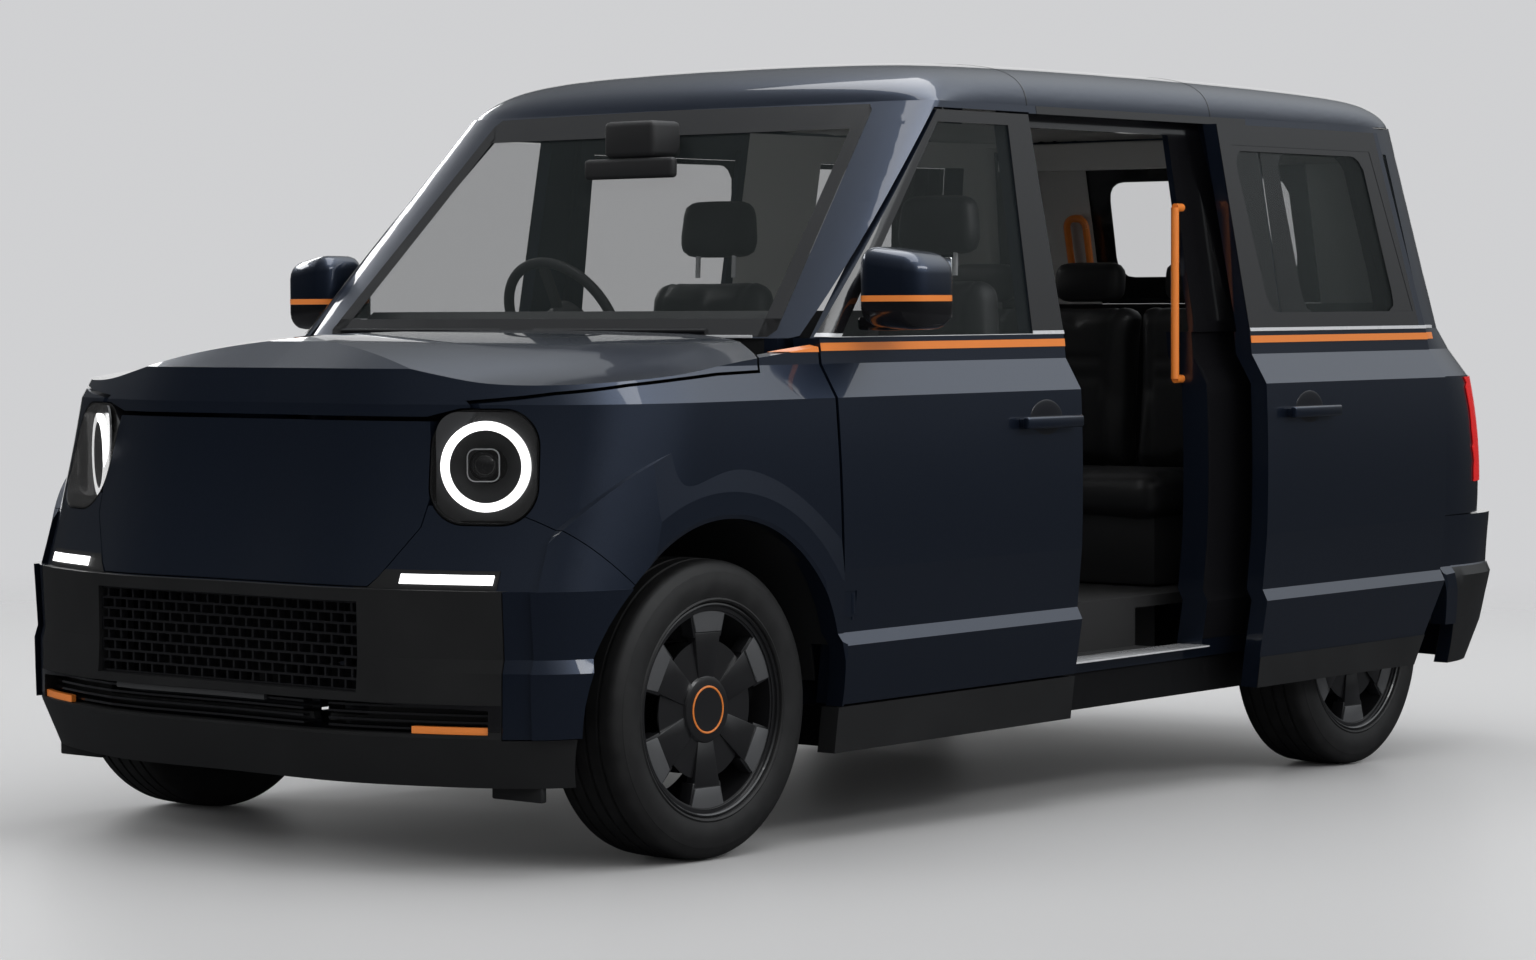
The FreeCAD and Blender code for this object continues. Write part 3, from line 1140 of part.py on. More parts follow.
# Roof's control net: shares along its run with their rise, and across its half width with theirs;
# the last pair gives the front's and the tail's turn, as shares of the pillar's and the tail's depth
ROOF_ROW_SHARES = [(0.0, 0.0), (0.008, 0.34), (0.05, 0.86), (0.15, 0.97), (0.35, 1.01), (0.64, 0.985), (0.87, 0.88),
                   (0.965, 0.74), (0.997, 0.30), (1.0, 0.0)]
ROOF_COLUMN_SHARES = [(1.0, 0.0, 1.0, 0.42), (0.995, 0.30, 0.86, 0.34), (0.955, 0.62, 0.52, 0.20),
                      (0.83, 0.87, 0.24, 0.08), (0.5, 0.97, 0.05, 0.015), (0.0, 1.0, 0.0, 0.0)]


def roof_mass(inset):
    """Roof above the pillars, filled, with its faces moved in by inset."""
    start = screen_at(g.cant_z) + inset
    end = g.tail_top - inset
    rise = g.roof_top_z - g.cant_z - inset
    columns = ROOF_COLUMN_SHARES + [(-a, b, c, d) for a, b, c, d in reversed(ROOF_COLUMN_SHARES[:-1])]
    rows = []
    for along, up in ROOF_ROW_SHARES:
        turn = [g.pillar_turn * (1 - along) * c - g.tail_depth * along * d for _, _, c, d in columns]
        rows.append([Vector((g.cant_half - inset) * a, start + (end - start) * along + back, g.cant_z + rise * up * b)
                     for (a, b, _, _), back in zip(columns, turn)])
    top = net_face(rows)
    foot = Part.Face(Part.Wire(Part.__sortEdges__(top.OuterWire.Edges)))
    return Part.Solid(Part.Shell([top, foot]))


def make_windscreen():
    area = front_prism(screen_points(-g.bearing_gap), 0, g.wheelbase / 2)
    return both_halves(cabin_wall(g.glass_thick).common(area))


def make_headlamp():
    bar = lamp_prism(g.lamp_side, g.lamp_depth, g.overrun)
    return BODY.common(bar)


def make_tail_lamp():
    return body_wall(g.skin).common(side_prism(tail_lamp_outline(-g.panel_gap / 2), inner=g.tailgate_half + g.moving_gap))


def make_sill():
    wall = body_mass(0).cut(body_mass(g.sill_depth))
    front = FRONT_HUB[0] + g.arch_radius
    rear = g.slider_front - g.moving_gap
    top = g.panel_bottom_z - g.panel_gap
    return wall.common(side_prism([(front, g.sill_bottom_z), (front, top), (rear, top), (rear, g.sill_bottom_z)]))


def door_pads(door, levels):
    """Roller arms that fill the room between a sliding door and the body, one per level."""
    outline = side_prism(slider_outline(g.panel_gap))
    core = BODY.fuse(CABIN).cut(body_wall(g.slider_thick + g.moving_gap).common(outline))
    core = core.cut(cabin_wall(g.frame_thick + g.panel_gap).common(outline))
    pads = []
    for back, low, high in levels:
        pad = Part.makeBox(g.overrun + g.pillar_thick, g.pillar_thick, high - low,
                           Vector(g.cant_half - g.pillar_thick, back, low))
        pads.append(min(pad.cut(core).cut(door).Solids, key=lambda piece: piece.BoundBox.XMin))
    return pads


# Body panels as nodes

FENDER = make_fender()
CORNER = make_bumper_corner()
FRONT_DOOR = make_front_door()
SLIDER = make_slider()
BODY_SIDE = make_body_side()
FRONT_PANE = glass(front_pane_outline(0))
SLIDER_PANE = glass(slider_pane_outline(0))
QUARTER_PANE = glass(quarter_pane_outline(0))
TAIL_LAMP = make_tail_lamp()
HEADLAMP = make_headlamp()
SILL = make_sill()
SLID = STANCE.multiply(Placement(Vector(g.slider_out, g.slider_shift, 0), Rotation()))

feature("body_side_left", BODY_SIDE)
feature("body_side_right", mirrored(BODY_SIDE))
feature("front_fender_left", FENDER)
feature("front_fender_right", mirrored(FENDER))
feature("front_panel", make_nose_panel())
feature("bumper_corners", Part.makeCompound([CORNER, mirrored(CORNER)]))
feature("front_bumper", make_front_bumper())
feature("grille_mesh", make_grille())
feature("front_carrier", make_front_carrier())
feature("bonnet", make_bonnet())
feature("cowl", make_cowl())
feature("windscreen", make_windscreen())
feature("front_door_left", FRONT_DOOR)
feature("front_door_right", mirrored(FRONT_DOOR))
feature("door_glass_left", FRONT_PANE)
feature("door_glass_right", mirrored(FRONT_PANE))
feature("sliding_door_left", SLIDER, SLID)
feature("sliding_door_right", mirrored(SLIDER))
slid_pane = SLIDER_PANE.copy()
slid_pane.translate(Vector(g.slider_out, g.slider_shift, 0))
feature("side_glass", Part.makeCompound([slid_pane, mirrored(SLIDER_PANE), QUARTER_PANE, mirrored(QUARTER_PANE)]))
feature("tailgate", make_tailgate())
hatch_half = cabin_wall(g.glass_thick).common(front_prism(hatch_pane_points(0), 0, g.tail_bumper + g.overrun))
feature("rear_window", both_halves(hatch_half.common(Part.makeBox(g.half_width, g.wheelbase, g.roof_top_z,
                                                                   Vector(0, g.wheelbase, 0)))))
feature("rear_bumper", make_rear_bumper())
feature("headlamps", Part.makeCompound([HEADLAMP, mirrored(HEADLAMP)]))
feature("tail_lamps", Part.makeCompound([TAIL_LAMP, mirrored(TAIL_LAMP)]))
feature("sill_covers", Part.makeCompound([SILL, mirrored(SILL)]))
feature("roof_panel", roof_mass(0).cut(roof_mass(g.roof_skin)))

slid_door = SLIDER.copy()
slid_door.translate(Vector(g.slider_out, g.slider_shift, 0))
runner_back = g.slider_rear + 3 * g.skin
levels = [(runner_back, g.middle_z + g.skin, g.middle_z + 2 * g.skin),
          (runner_back, g.door_top_z - 1.6 * g.skin, g.door_top_z - 0.8 * g.skin)]
shut_levels = [(g.doorway_rear + g.skin, low, high) for _, low, high in levels]
runners = door_pads(slid_door, levels) + [mirrored(pad) for pad in door_pads(SLIDER, shut_levels)]
feature("door_runners", Part.makeCompound(runners))


def make_mirror():
    shell = Part.makeBox(g.mirror_outer - g.mirror_inner, g.mirror_back - g.mirror_front, g.mirror_high - g.mirror_low,
                         Vector(g.mirror_inner, g.mirror_front, g.mirror_low))
    shell = shell.makeFillet(g.mirror_edge, shell.Edges)
    foot = Part.makeBox(g.mirror_outer - g.cant_half - g.overrun / 2, g.mirror_edge * 2, g.mirror_edge,
                        Vector(g.cant_half + g.mirror_edge, g.mirror_front + g.mirror_edge, g.mirror_low - g.mirror_edge / 2))
    return shell.fuse(foot).cut(CABIN).cut(BODY)


MIRROR = make_mirror()
feature("mirror_left", MIRROR)
feature("mirror_right", mirrored(MIRROR))


def make_liner(centre, inner_x):
    """A wheel housing: a ring over the wheel with its inboard wall."""
    outer = g.liner_radius + g.liner_thick
    shell = disc_at(centre, outer, inner_x - g.liner_thick, g.liner_outer_x)
    shell = shell.cut(disc_at(centre, g.liner_radius, inner_x, g.liner_outer_x + g.overrun))
    low = centre[1] - outer
    box = Part.makeBox(g.half_width, 2 * outer, outer + g.strut_radius, Vector(0, centre[0] - outer, low))
    return shell.cut(box)


door_room = side_prism(front_door_outline(g.moving_gap), inner=g.half_width - g.door_thick - g.tuck_in - g.moving_gap)
axle_slot = disc_at(REAR_HUB, g.rear_beam_radius + g.moving_gap, 0, g.half_width)
front_liner = make_liner(FRONT_HUB, g.liner_inner_x).common(nose_core(g.fit_gap)).cut(door_room)
rear_liner = make_liner(REAR_HUB, g.rear_liner_inner_x).common(body_mass(g.bumper_wall + g.fit_gap)).cut(axle_slot)
feature("wheel_housings", Part.makeCompound([front_liner, mirrored(front_liner), rear_liner, mirrored(rear_liner)]))

# Floor, battery and bulkhead

NARROW = "rear_liner_inner_x - liner_thick * 2"
BEHIND = "wheelbase - liner_radius - liner_thick * 2"
floor_points = [("floor_half", "post_front"), ("floor_half", BEHIND), (NARROW, BEHIND), (NARROW, "floor_rear"),
                ("-(" + NARROW + ")", "floor_rear"), ("-(" + NARROW + ")", BEHIND), ("-floor_half", BEHIND),
                ("-floor_half", "post_front")]
floor_body = padded_body("floor_plate", "XY_Plane", floor_points, "floor_thick", middle=False)
floor_body.setExpression(".Placement.Base.z", cell("floor_z - floor_thick"))
STEP_OUTER = "half_width - tuck_in - quarter_thick - skin - panel_gap"
steps = []
for side, start in (("left", "floor_half"), ("right", "-(" + STEP_OUTER + ")")):
    steps.append(block("step_" + side, STEP_OUTER + " - floor_half", "doorway_rear - door_rear - 2 * pillar_thick", "step_thick",
                       start, "door_rear + pillar_thick", "step_z - step_thick"))
for side, start in (("left", "floor_half - floor_thick"), ("right", "-floor_half")):
    steps.append(block("riser_" + side, "floor_thick", "doorway_rear - door_rear - 2 * pillar_thick",
                       "floor_z - step_z + step_thick", start, "door_rear + pillar_thick", "step_z - step_thick"))
node("floor_platform", joined("floor_union", [floor_body] + steps))
ROCKER_OUTER = "half_width - sill_tuck - sill_depth + 2 * bearing_gap"
rockers = [block("rocker_" + side, ROCKER_OUTER + " - floor_half", "rocker_rear - post_front", "step_z - step_thick - rocker_foot_z",
                 start, "post_front", "rocker_foot_z") for side, start in (("left", "floor_half"), ("right", "-(" + ROCKER_OUTER + ")"))]
ties = [block("tie_" + side, "floor_half - battery_half", "post_length", "floor_z - floor_thick - rocker_foot_z", start,
              "post_front", "rocker_foot_z") for side, start in (("left", "battery_half"), ("right", "-floor_half"))]
node("rockers", grouped("rocker_pair", [joined("rocker_left_union", [rockers[0], ties[0]]),
                                        joined("rocker_right_union", [rockers[1], ties[1]])]))
node("battery_pack", grouped("battery_union", [block("battery_case", "2 * battery_half", "battery_rear - battery_front",
     "floor_z - floor_thick - battery_bottom_z", "-battery_half", "battery_front", "battery_bottom_z")]))
bulkhead = block("bulkhead_plate", "2 * (post_inner - fit_gap)", "bulkhead_thick", "bulkhead_top_z - floor_z + floor_thick",
                 "fit_gap - post_inner", "post_front - bulkhead_thick", "floor_z - floor_thick")
hinge_left = doc.addObject("Part::Feature", "bonnet_hinge_left")
hinge_left.Shape = bonnet_hinge()[0]
hinge_right = doc.addObject("Part::Feature", "bonnet_hinge_right")
hinge_right.Shape = mirrored(bonnet_hinge()[0])
cowl_stand = block("cowl_stand", "2 * (post_inner - fit_gap)", "post_front - screen_foot", "bulkhead_thick",
                   "fit_gap - post_inner", "screen_foot", "bulkhead_top_z - bulkhead_thick")
node("bulkhead", joined("bulkhead_union", [bulkhead, hinge_left, hinge_right, cowl_stand]))

# Seats and dashboard


def seat(name, middle_x):
    """A front seat: base, cushion, leaning back, headrest on two posts."""
    profile = [("seat_front", "seat_top_z - pad_thick"), ("seat_front", "seat_top_z"),
               ("seat_front + seat_length", "seat_top_z"),
               ("seat_front + seat_length + headrest_lean", "seat_back_top_z"),
               ("seat_front + seat_length + headrest_lean + back_thick", "seat_back_top_z"),
               ("seat_front + seat_length + back_thick", "seat_top_z - pad_thick")]
    shell = padded_body(name + "_shell", "YZ_Plane", profile, "2 * seat_half")
    shell.setExpression(".Placement.Base.x", cell(middle_x))
    start = "seat_front + seat_length + headrest_lean + back_thick / 2"
    head = block(name + "_head", "2 * headrest_half", "headrest_thick", "headrest_high - headrest_low",
                 middle_x + " - headrest_half", start + " - headrest_thick / 2", "headrest_low")
    posts = [rod(name + "_post_" + end, "grip_radius", "headrest_low - seat_back_top_z", middle_x + offset, start,
                 "seat_back_top_z") for end, offset in (("a", " - headrest_half / 2"), ("b", " + headrest_half / 2"))]
    base = block(name + "_base", "1.6 * seat_half", "seat_length", "seat_top_z - pad_thick - floor_z",
                 middle_x + " - 0.8 * seat_half", "seat_front + back_thick / 2", "floor_z")
    return joined(name, [shell, head, base] + posts)


node("front_seats", grouped("front_seat_pair", [seat("seat_left", "seat_x"), seat("seat_right", "-seat_x")]))

bench_profile = [("bench_front", "bench_top_z - pad_thick"), ("bench_front", "bench_top_z"),
                 ("bench_front + bench_length", "bench_top_z"),
                 ("bench_front + bench_length + headrest_lean", "bench_back_top"),
                 ("bench_front + bench_length + headrest_lean + back_thick", "bench_back_top"),
                 ("bench_front + bench_length + back_thick", "bench_top_z - pad_thick")]
bench_width = "2 * (rear_liner_inner_x - liner_thick * 2)"
bench_shell = padded_body("bench_shell", "YZ_Plane", bench_profile, bench_width)
bench_base = block("bench_base", "1.8 * bench_half", "bench_length", "bench_top_z - pad_thick - floor_z",
                   "-0.9 * bench_half", "bench_front + back_thick / 2", "floor_z")
bench_heads = [block(f"bench_head_{place}", "2 * headrest_half", "headrest_thick", "bench_head_top - bench_back_top",
                     f"{place} * 3 * headrest_half - headrest_half",
                     "bench_front + bench_length + headrest_lean + (back_thick - headrest_thick) / 2", "bench_back_top")
               for place in (-1, 0, 1)]
node("rear_bench", joined("bench", [bench_shell, bench_base] + bench_heads))

dash_profile = [("post_front", "dash_low_z"), ("post_front", "dash_top_z - (dash_rear - dash_front) / 5"),
                ("dash_front + (dash_rear - dash_front) / 4", "dash_top_z"), ("dash_rear - pad_thick / 2", "dash_top_z"),
                ("dash_rear", "dash_top_z - pad_thick / 3"), ("dash_rear - pad_thick / 8", "dash_low_z + pad_thick"),
                ("dash_rear - pad_thick", "dash_low_z")]
dash_body = padded_body("dash_shell", "YZ_Plane", dash_profile, "2 * (post_inner - fit_gap)")
TILT = math.radians(g.column_tilt)
COLUMN_WAY = Vector(0, math.cos(TILT), math.sin(TILT))
WHEEL_HUB = Vector(-g.steering_x, g.steering_back, g.steering_z)
column = rod("column", "column_radius", "wheel_rim_radius", "-steering_x",
             "steering_back - (wheel_rim_radius + column_radius + bearing_gap) * cos(column_tilt * 1 deg)",
             "steering_z - (wheel_rim_radius + column_radius + bearing_gap) * sin(column_tilt * 1 deg)", COLUMN_WAY)
node("dashboard", joined("dash_union", [dash_body, column]))

ring = bind(doc.addObject("Part::Torus", "steering_ring"), Radius1="wheel_rim_radius", Radius2="wheel_rim_thick")
boss = bind(doc.addObject("Part::Cylinder", "steering_boss"), Radius="column_radius * 1.6", Height="2 * column_radius",
            z="-column_radius")
spokes = [bind(doc.addObject("Part::Box", f"steering_spoke_{i}"), Length="wheel_rim_radius", Width="wheel_rim_thick * 2",
               Height="wheel_rim_thick", y="-wheel_rim_thick", z="-wheel_rim_thick / 2") for i in range(3)]
for spoke, degrees in zip(spokes, (0, 180, 270)):
    spoke.Placement = Placement(Rotation(Z_AXIS, degrees).multVec(Vector(0, -g.wheel_rim_thick, -g.wheel_rim_thick / 2)),
                                Rotation(Z_AXIS, degrees))
    spoke.setExpression(".Placement.Base.x", None)
    spoke.setExpression(".Placement.Base.y", None)
wheel_place = Placement(WHEEL_HUB, Rotation(Z_AXIS, COLUMN_WAY))
node("steering_wheel", joined("steering_union", [ring, boss] + spokes), STANCE.multiply(wheel_place))

# Grab handles and wipers

grip = [rod("door_grip", "grip_radius", "2 * grip_length", "doorway_grip_x", "doorway_rear - 3 * grip_radius",
            "bench_back_top - grip_length")]
feet = []
for name, x, y, z, way in (("door_grip_low", "doorway_grip_x", "doorway_rear - 3 * grip_radius", "bench_back_top - grip_length", Y_AXIS),
                           ("door_grip_high", "doorway_grip_x", "doorway_rear - 3 * grip_radius", "bench_back_top + grip_length", Y_AXIS)):
    feet.append(rod(name, "grip_radius", "3 * grip_radius - fit_gap", x, y, z, way))
node("grab_handles", joined("grip_union", grip + feet))

WIPER_RISE = "2 * panel_gap + wiper_radius + bearing_gap"
WIPER_BACK = ("screen_foot + screen_slope * (" + WIPER_RISE
              + ") - (wiper_radius + fit_gap) * sqrt(1 + screen_slope ^ 2)")
wipers = [rod(name, "wiper_radius", "wiper_arm", start, WIPER_BACK, "belt_z + " + WIPER_RISE, X_AXIS)
          for name, start in (("wiper_left", "0"), ("wiper_right", "-wiper_arm * 1.2"))]
node("wipers", grouped("wiper_pair", wipers))

# Axles, knuckles and wheels, level with the ground

subframe = block("subframe_box", "2 * subframe_half", "2 * subframe_half_length", "subframe_height", "-subframe_half",
                 "-subframe_half_length", "subframe_low")
arms = []
for side, start in (("left", "subframe_half - arm_height"), ("right", "-kingpin_x - arm_height")):
    arms.append(block("lower_arm_" + side, "kingpin_x - subframe_half + 2 * arm_height", "2 * arm_height", "arm_height", start,
                      "-arm_height", "ball_joint_z - arm_height"))
legs = [block(f"subframe_leg_{side}", "arm_height * 2", "post_front - subframe_half_length / 2 + post_length", "arm_height * 2",
              x, "subframe_half_length / 2", "subframe_low + arm_height / 2")
        for side, x in (("left", "subframe_half - arm_height * 2"), ("right", "-subframe_half"))]
horn_length = "horn_reach - subframe_half_length + arm_height"
horn_post = block("horn_post", "2 * horn_radius", "arm_height", "horn_z - subframe_low", "horn_x - horn_radius",
                  "-subframe_half_length", "subframe_low")
horn = rod("horn", "horn_radius", horn_length, "horn_x", "arm_height - subframe_half_length", "horn_z", -Y_AXIS)
tow_bore = rod("tow_bore", "tow_bore", "tow_depth", "horn_x", "tow_depth - horn_reach", "horn_z", -Y_AXIS)
frame_union = joined("subframe_union", [subframe, horn_post, horn] + arms + legs)
towing = doc.addObject("Part::Cut", "subframe_towing")
towing.Base = frame_union
towing.Tool = tow_bore
node("front_subframe", towing, GROUND)

for side, sign in (("left", 1), ("right", -1)):
    s = "" if sign > 0 else "-"
    def low_x(start, length):
        return start if sign > 0 else f"-({start}) - ({length})"
    inner = "half_track - knuckle_inboard"
    plate = block(f"knuckle_plate_{side}", "knuckle_thick", "2 * knuckle_half", "2 * knuckle_reach", low_x(inner, "knuckle_thick"),
                  "-knuckle_half", "tyre_radius - knuckle_reach")
    reach = "half_track - knuckle_inboard - kingpin_x + arm_height"
    foot = block(f"knuckle_foot_{side}", reach, "2 * arm_height", "knuckle_thick", low_x("kingpin_x - arm_height", reach),
                 "-arm_height", "ball_joint_z + bearing_gap")
    clamp = block(f"knuckle_clamp_{side}", reach, "2 * arm_height", "knuckle_thick",
                  low_x("kingpin_x - arm_height", reach), "-arm_height", "tyre_radius + knuckle_reach - knuckle_thick")
    strut = rod(f"strut_{side}", "strut_radius", "strut_top_z - tyre_radius - knuckle_reach + knuckle_thick", s + "kingpin_x", "0",
                "tyre_radius + knuckle_reach - knuckle_thick")
    spindle_length = "knuckle_inboard - disc_half - bearing_gap - knuckle_thick / 2"
    spindle = rod(f"spindle_{side}", "spindle_radius", spindle_length,
                  low_x("half_track - knuckle_inboard + knuckle_thick / 2", spindle_length), "0", "tyre_radius", X_AXIS)
    node("knuckle_" + side, joined(f"knuckle_union_{side}", [plate, foot, clamp, strut, spindle]), GROUND)

beam = rod("rear_beam", "rear_beam_radius", "2 * (half_track - disc_half - bearing_gap)",
           "-(half_track - disc_half - bearing_gap)", "wheelbase", "tyre_radius", X_AXIS)
drive = block("drive_unit", "2 * drive_half", "drive_length", "drive_height", "-drive_half", "wheelbase - drive_length / 2",
              "tyre_radius - drive_height / 2")
trailing = [block(f"trailing_arm_{side}", "arm_height * 2", "liner_radius", "arm_height * 2", x, "wheelbase - liner_radius",
                  "tyre_radius - arm_height") for side, x in (("left", "rear_liner_inner_x - 5 * arm_height"),
                                                               ("right", "3 * arm_height - rear_liner_inner_x"))]
FLOOR_UNDER = ("(floor_z - floor_thick) * cos(body_rake * 1 deg)"
               " + (wheelbase - liner_radius) * sin(body_rake * 1 deg) - fit_gap")
trailing += [block(f"trailing_bracket_{side}", "arm_height * 2", "arm_height * 2", FLOOR_UNDER + " - tyre_radius",
                   x, "wheelbase - liner_radius", "tyre_radius")
             for side, x in (("left", "rear_liner_inner_x - 5 * arm_height"), ("right", "3 * arm_height - rear_liner_inner_x"))]
node("rear_axle", joined("rear_axle_union", [beam, drive] + trailing), GROUND)

FLANGE_HALF = g.bead_half + g.arm_height / 7
TYRE = [(g.bead_half, g.bead_radius), (FLANGE_HALF, g.flange_radius), (g.tyre_half_width, g.sidewall_low),
        (g.tyre_half_width, g.sidewall_top), (g.tyre_shoulder_half, g.tyre_radius - g.tyre_shoulder_drop),
        (g.tyre_tread_half, g.tyre_radius)]
TYRE += [(-across, radius) for across, radius in reversed(TYRE)]
BORE = "bead_radius - fit_gap"
RIM = [("-barrel_inboard", BORE), ("bead_half + arm_height / 7 + bearing_gap", BORE),
       ("bead_half + arm_height / 7 + bearing_gap", "flange_radius"),
       ("bead_half + arm_height / 7 + bearing_gap + flange_thick", "flange_radius"),
       ("bead_half + arm_height / 7 + bearing_gap + flange_thick", "rim_inner_radius + cover_thick"),
       ("cover_face", "rim_inner_radius"), ("cover_face", "cap_radius"), ("cover_face + cap_proud", "cap_radius - cap_proud"),
       ("cover_face + cap_proud", "0"), ("-disc_half", "0"), ("-disc_half", "disc_radius"), ("disc_half", "disc_radius"),
       ("disc_half", "hub_radius"), ("cover_face - cover_thick", "hub_radius + cover_thick"),
       ("cover_face - cover_thick", "rim_inner_radius - cover_thick / 4"), ("-barrel_inboard", "rim_inner_radius")]
for name, x, y, turn in (("fl", g.half_track, 0, 0), ("fr", -g.half_track, 0, 180), ("rl", g.half_track, g.wheelbase, 0),
                         ("rr", -g.half_track, g.wheelbase, 180)):
    place = GROUND.multiply(Placement(Vector(x, y, g.tyre_radius), Rotation(Z_AXIS, turn)))
    feature("tyre_" + name, make_tyre(TYRE), place)
    rim = turned_body("rim_body_" + name, RIM)
    doc.recompute()
    window = outline(rim, "opening_" + name, "YZ_Plane",
                     [("-opening_inner_half", "opening_inner"), ("-opening_outer_half", "opening_outer"),
                      ("opening_outer_half", "opening_outer"), ("opening_inner_half", "opening_inner")])
    pocket = rim.newObject("PartDesign::Pocket", "opening_pocket_" + name)
    pocket.Profile = window
    pocket.Type = "ThroughAll"
    pocket.Reversed = True
    window.Visibility = False
    rim.Tip = pocket
    doc.recompute()
    ring_of = rim.newObject("PartDesign::PolarPattern", "openings_" + name)
    ring_of.Originals = [pocket]
    ring_of.Axis = (rim.Origin.OriginFeatures[0], [""])
    ring_of.Angle = 360
    ring_of.Occurrences = int(g.cover_openings)
    rim.Tip = ring_of
    node("rim_" + name, rim, place)

doc.recompute()
problems = [piece.Label for piece in doc.Objects if "Invalid" in piece.State or "Error" in piece.State]
problems += [piece.Label for piece in NODES if piece.Shape.isNull() or not piece.Shape.isValid()]
if problems:
    raise RuntimeError("pieces that failed: " + ", ".join(problems))

os.makedirs("parts", exist_ok=True)
box = FreeCAD.BoundBox()
for piece in NODES:
    piece.Shape.exportStep(f"parts/{piece.Label}.step")
    box.add(piece.Shape.optimalBoundingBox(False))
print(len(NODES), "pieces; box", [round(v, 1) for v in (box.XMin, box.YMin, box.ZMin, box.XMax, box.YMax, box.ZMax)])
for piece in NODES:
    print(piece.Label, len(piece.Shape.Solids), round(piece.Shape.Volume / 1e6, 2))
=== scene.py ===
# %% [markdown]
# # A passenger cab, dressed in Blender
#
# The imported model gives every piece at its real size, in metres, with the ground at Z = 0 and the nose
# towards -Y. This script adds what the eye looks for: paint with depth, glass, rubber with its tread,
# lamps that glow, padded seats and the small trim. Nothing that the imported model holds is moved; a piece
# that needs a softer or finer form than its solid is modelled again here and stands for it.

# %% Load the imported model
import math

import bpy
from mathutils import Matrix, Vector


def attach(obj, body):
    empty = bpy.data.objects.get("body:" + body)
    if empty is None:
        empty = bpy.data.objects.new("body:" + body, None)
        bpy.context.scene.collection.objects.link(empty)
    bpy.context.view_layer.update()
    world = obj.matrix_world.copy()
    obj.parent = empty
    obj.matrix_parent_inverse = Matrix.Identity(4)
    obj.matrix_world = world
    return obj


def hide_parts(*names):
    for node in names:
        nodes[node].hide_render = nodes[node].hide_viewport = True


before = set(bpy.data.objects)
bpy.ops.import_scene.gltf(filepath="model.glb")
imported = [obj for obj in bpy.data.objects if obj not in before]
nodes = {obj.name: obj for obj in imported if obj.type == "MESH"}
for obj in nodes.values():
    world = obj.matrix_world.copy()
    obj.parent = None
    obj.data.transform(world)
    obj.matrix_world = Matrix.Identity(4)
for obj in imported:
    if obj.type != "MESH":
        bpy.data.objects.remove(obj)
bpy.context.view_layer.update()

# %% [markdown]
# ## The camera
#
# The photograph was taken from ahead of the cab on its left side, with a long lens at chest height. A
# camera is easiest to place from four facts that can be worked out from a picture: where it stands, which
# way it looks, how far it is tilted, and its lens. The lens is given in millimetres on a sensor 36 mm
# wide.

# %% Camera at the photograph's view
CAMERA_PLACE = Vector((6.5843, -8.3020, 1.1499))
CAMERA_YAW = math.radians(39.171)
CAMERA_PITCH = math.radians(-1.8145)
CAMERA_ROLL = math.radians(0.348)
CAMERA_LENS = 91.484
SENSOR_WIDTH = 36
CLIP_END = 200


def place_camera():
    """A camera whose axes are worked out from its yaw, pitch and roll."""
    forward = Vector((-math.sin(CAMERA_YAW) * math.cos(CAMERA_PITCH),
                      math.cos(CAMERA_YAW) * math.cos(CAMERA_PITCH),
                      math.sin(CAMERA_PITCH)))
    level = Vector((math.cos(CAMERA_YAW), math.sin(CAMERA_YAW), 0))
    upright = level.cross(forward)
    right = math.cos(CAMERA_ROLL) * level + math.sin(CAMERA_ROLL) * upright
    up = math.cos(CAMERA_ROLL) * upright - math.sin(CAMERA_ROLL) * level
    lens = bpy.data.cameras.new("camera")
    lens.lens = CAMERA_LENS
    lens.sensor_width = SENSOR_WIDTH
    lens.clip_end = CLIP_END
    camera = bpy.data.objects.new("camera", lens)
    bpy.context.collection.objects.link(camera)
    camera.matrix_world = Matrix.Translation(CAMERA_PLACE) @ Matrix(
        (right, up, -forward)).transposed().to_4x4()
    bpy.context.scene.camera = camera


place_camera()
bpy.context.scene.view_settings.view_transform = "Standard"
print("the camera stands at", tuple(CAMERA_PLACE), "with a lens of", CAMERA_LENS, "mm")

# %% [markdown]
# ## The studio
#
# Dark gloss paint is seen by what it mirrors, so the studio matters as much as the paint. The floor is
# pale to the camera but dark in mirrors, or the doors would turn grey. It could be a curved backdrop; a
# plane that grows clear with distance, until only the world behind it is left, has no edge and needs no
# bend in the right place.

# %% Floor
FLOOR_SIZE = 60
FLOOR_GREY = (0.52, 0.522, 0.527, 1)
FLOOR_ROUGHNESS = 0.42
FLOOR_SPECULAR = 0.12
FLOOR_IN_MIRRORS = (0.05, 0.052, 0.056, 1)
FADE_FROM, FADE_TO = 3.0, 11.5


def ramped(tree, value, start, end, low=0.0, high=1.0, smooth_ends=False):
    """Turns a value that runs from start to end into one that runs from low to high."""
    ramp = tree.nodes.new("ShaderNodeMapRange")
    if smooth_ends:
        ramp.interpolation_type = "SMOOTHSTEP"
    ramp.inputs["From Min"].default_value = start
    ramp.inputs["From Max"].default_value = end
    ramp.inputs["To Min"].default_value = low
    ramp.inputs["To Max"].default_value = high
    tree.links.new(value, ramp.inputs["Value"])
    return ramp.outputs["Result"]


def mixed(tree, share, first, second):
    """Two shaders mixed by a share: 0 gives the first, 1 the second."""
    mix = tree.nodes.new("ShaderNodeMixShader")
    tree.links.new(share, mix.inputs[0])
    tree.links.new(first, mix.inputs[1])
    tree.links.new(second, mix.inputs[2])
    return mix.outputs[0]


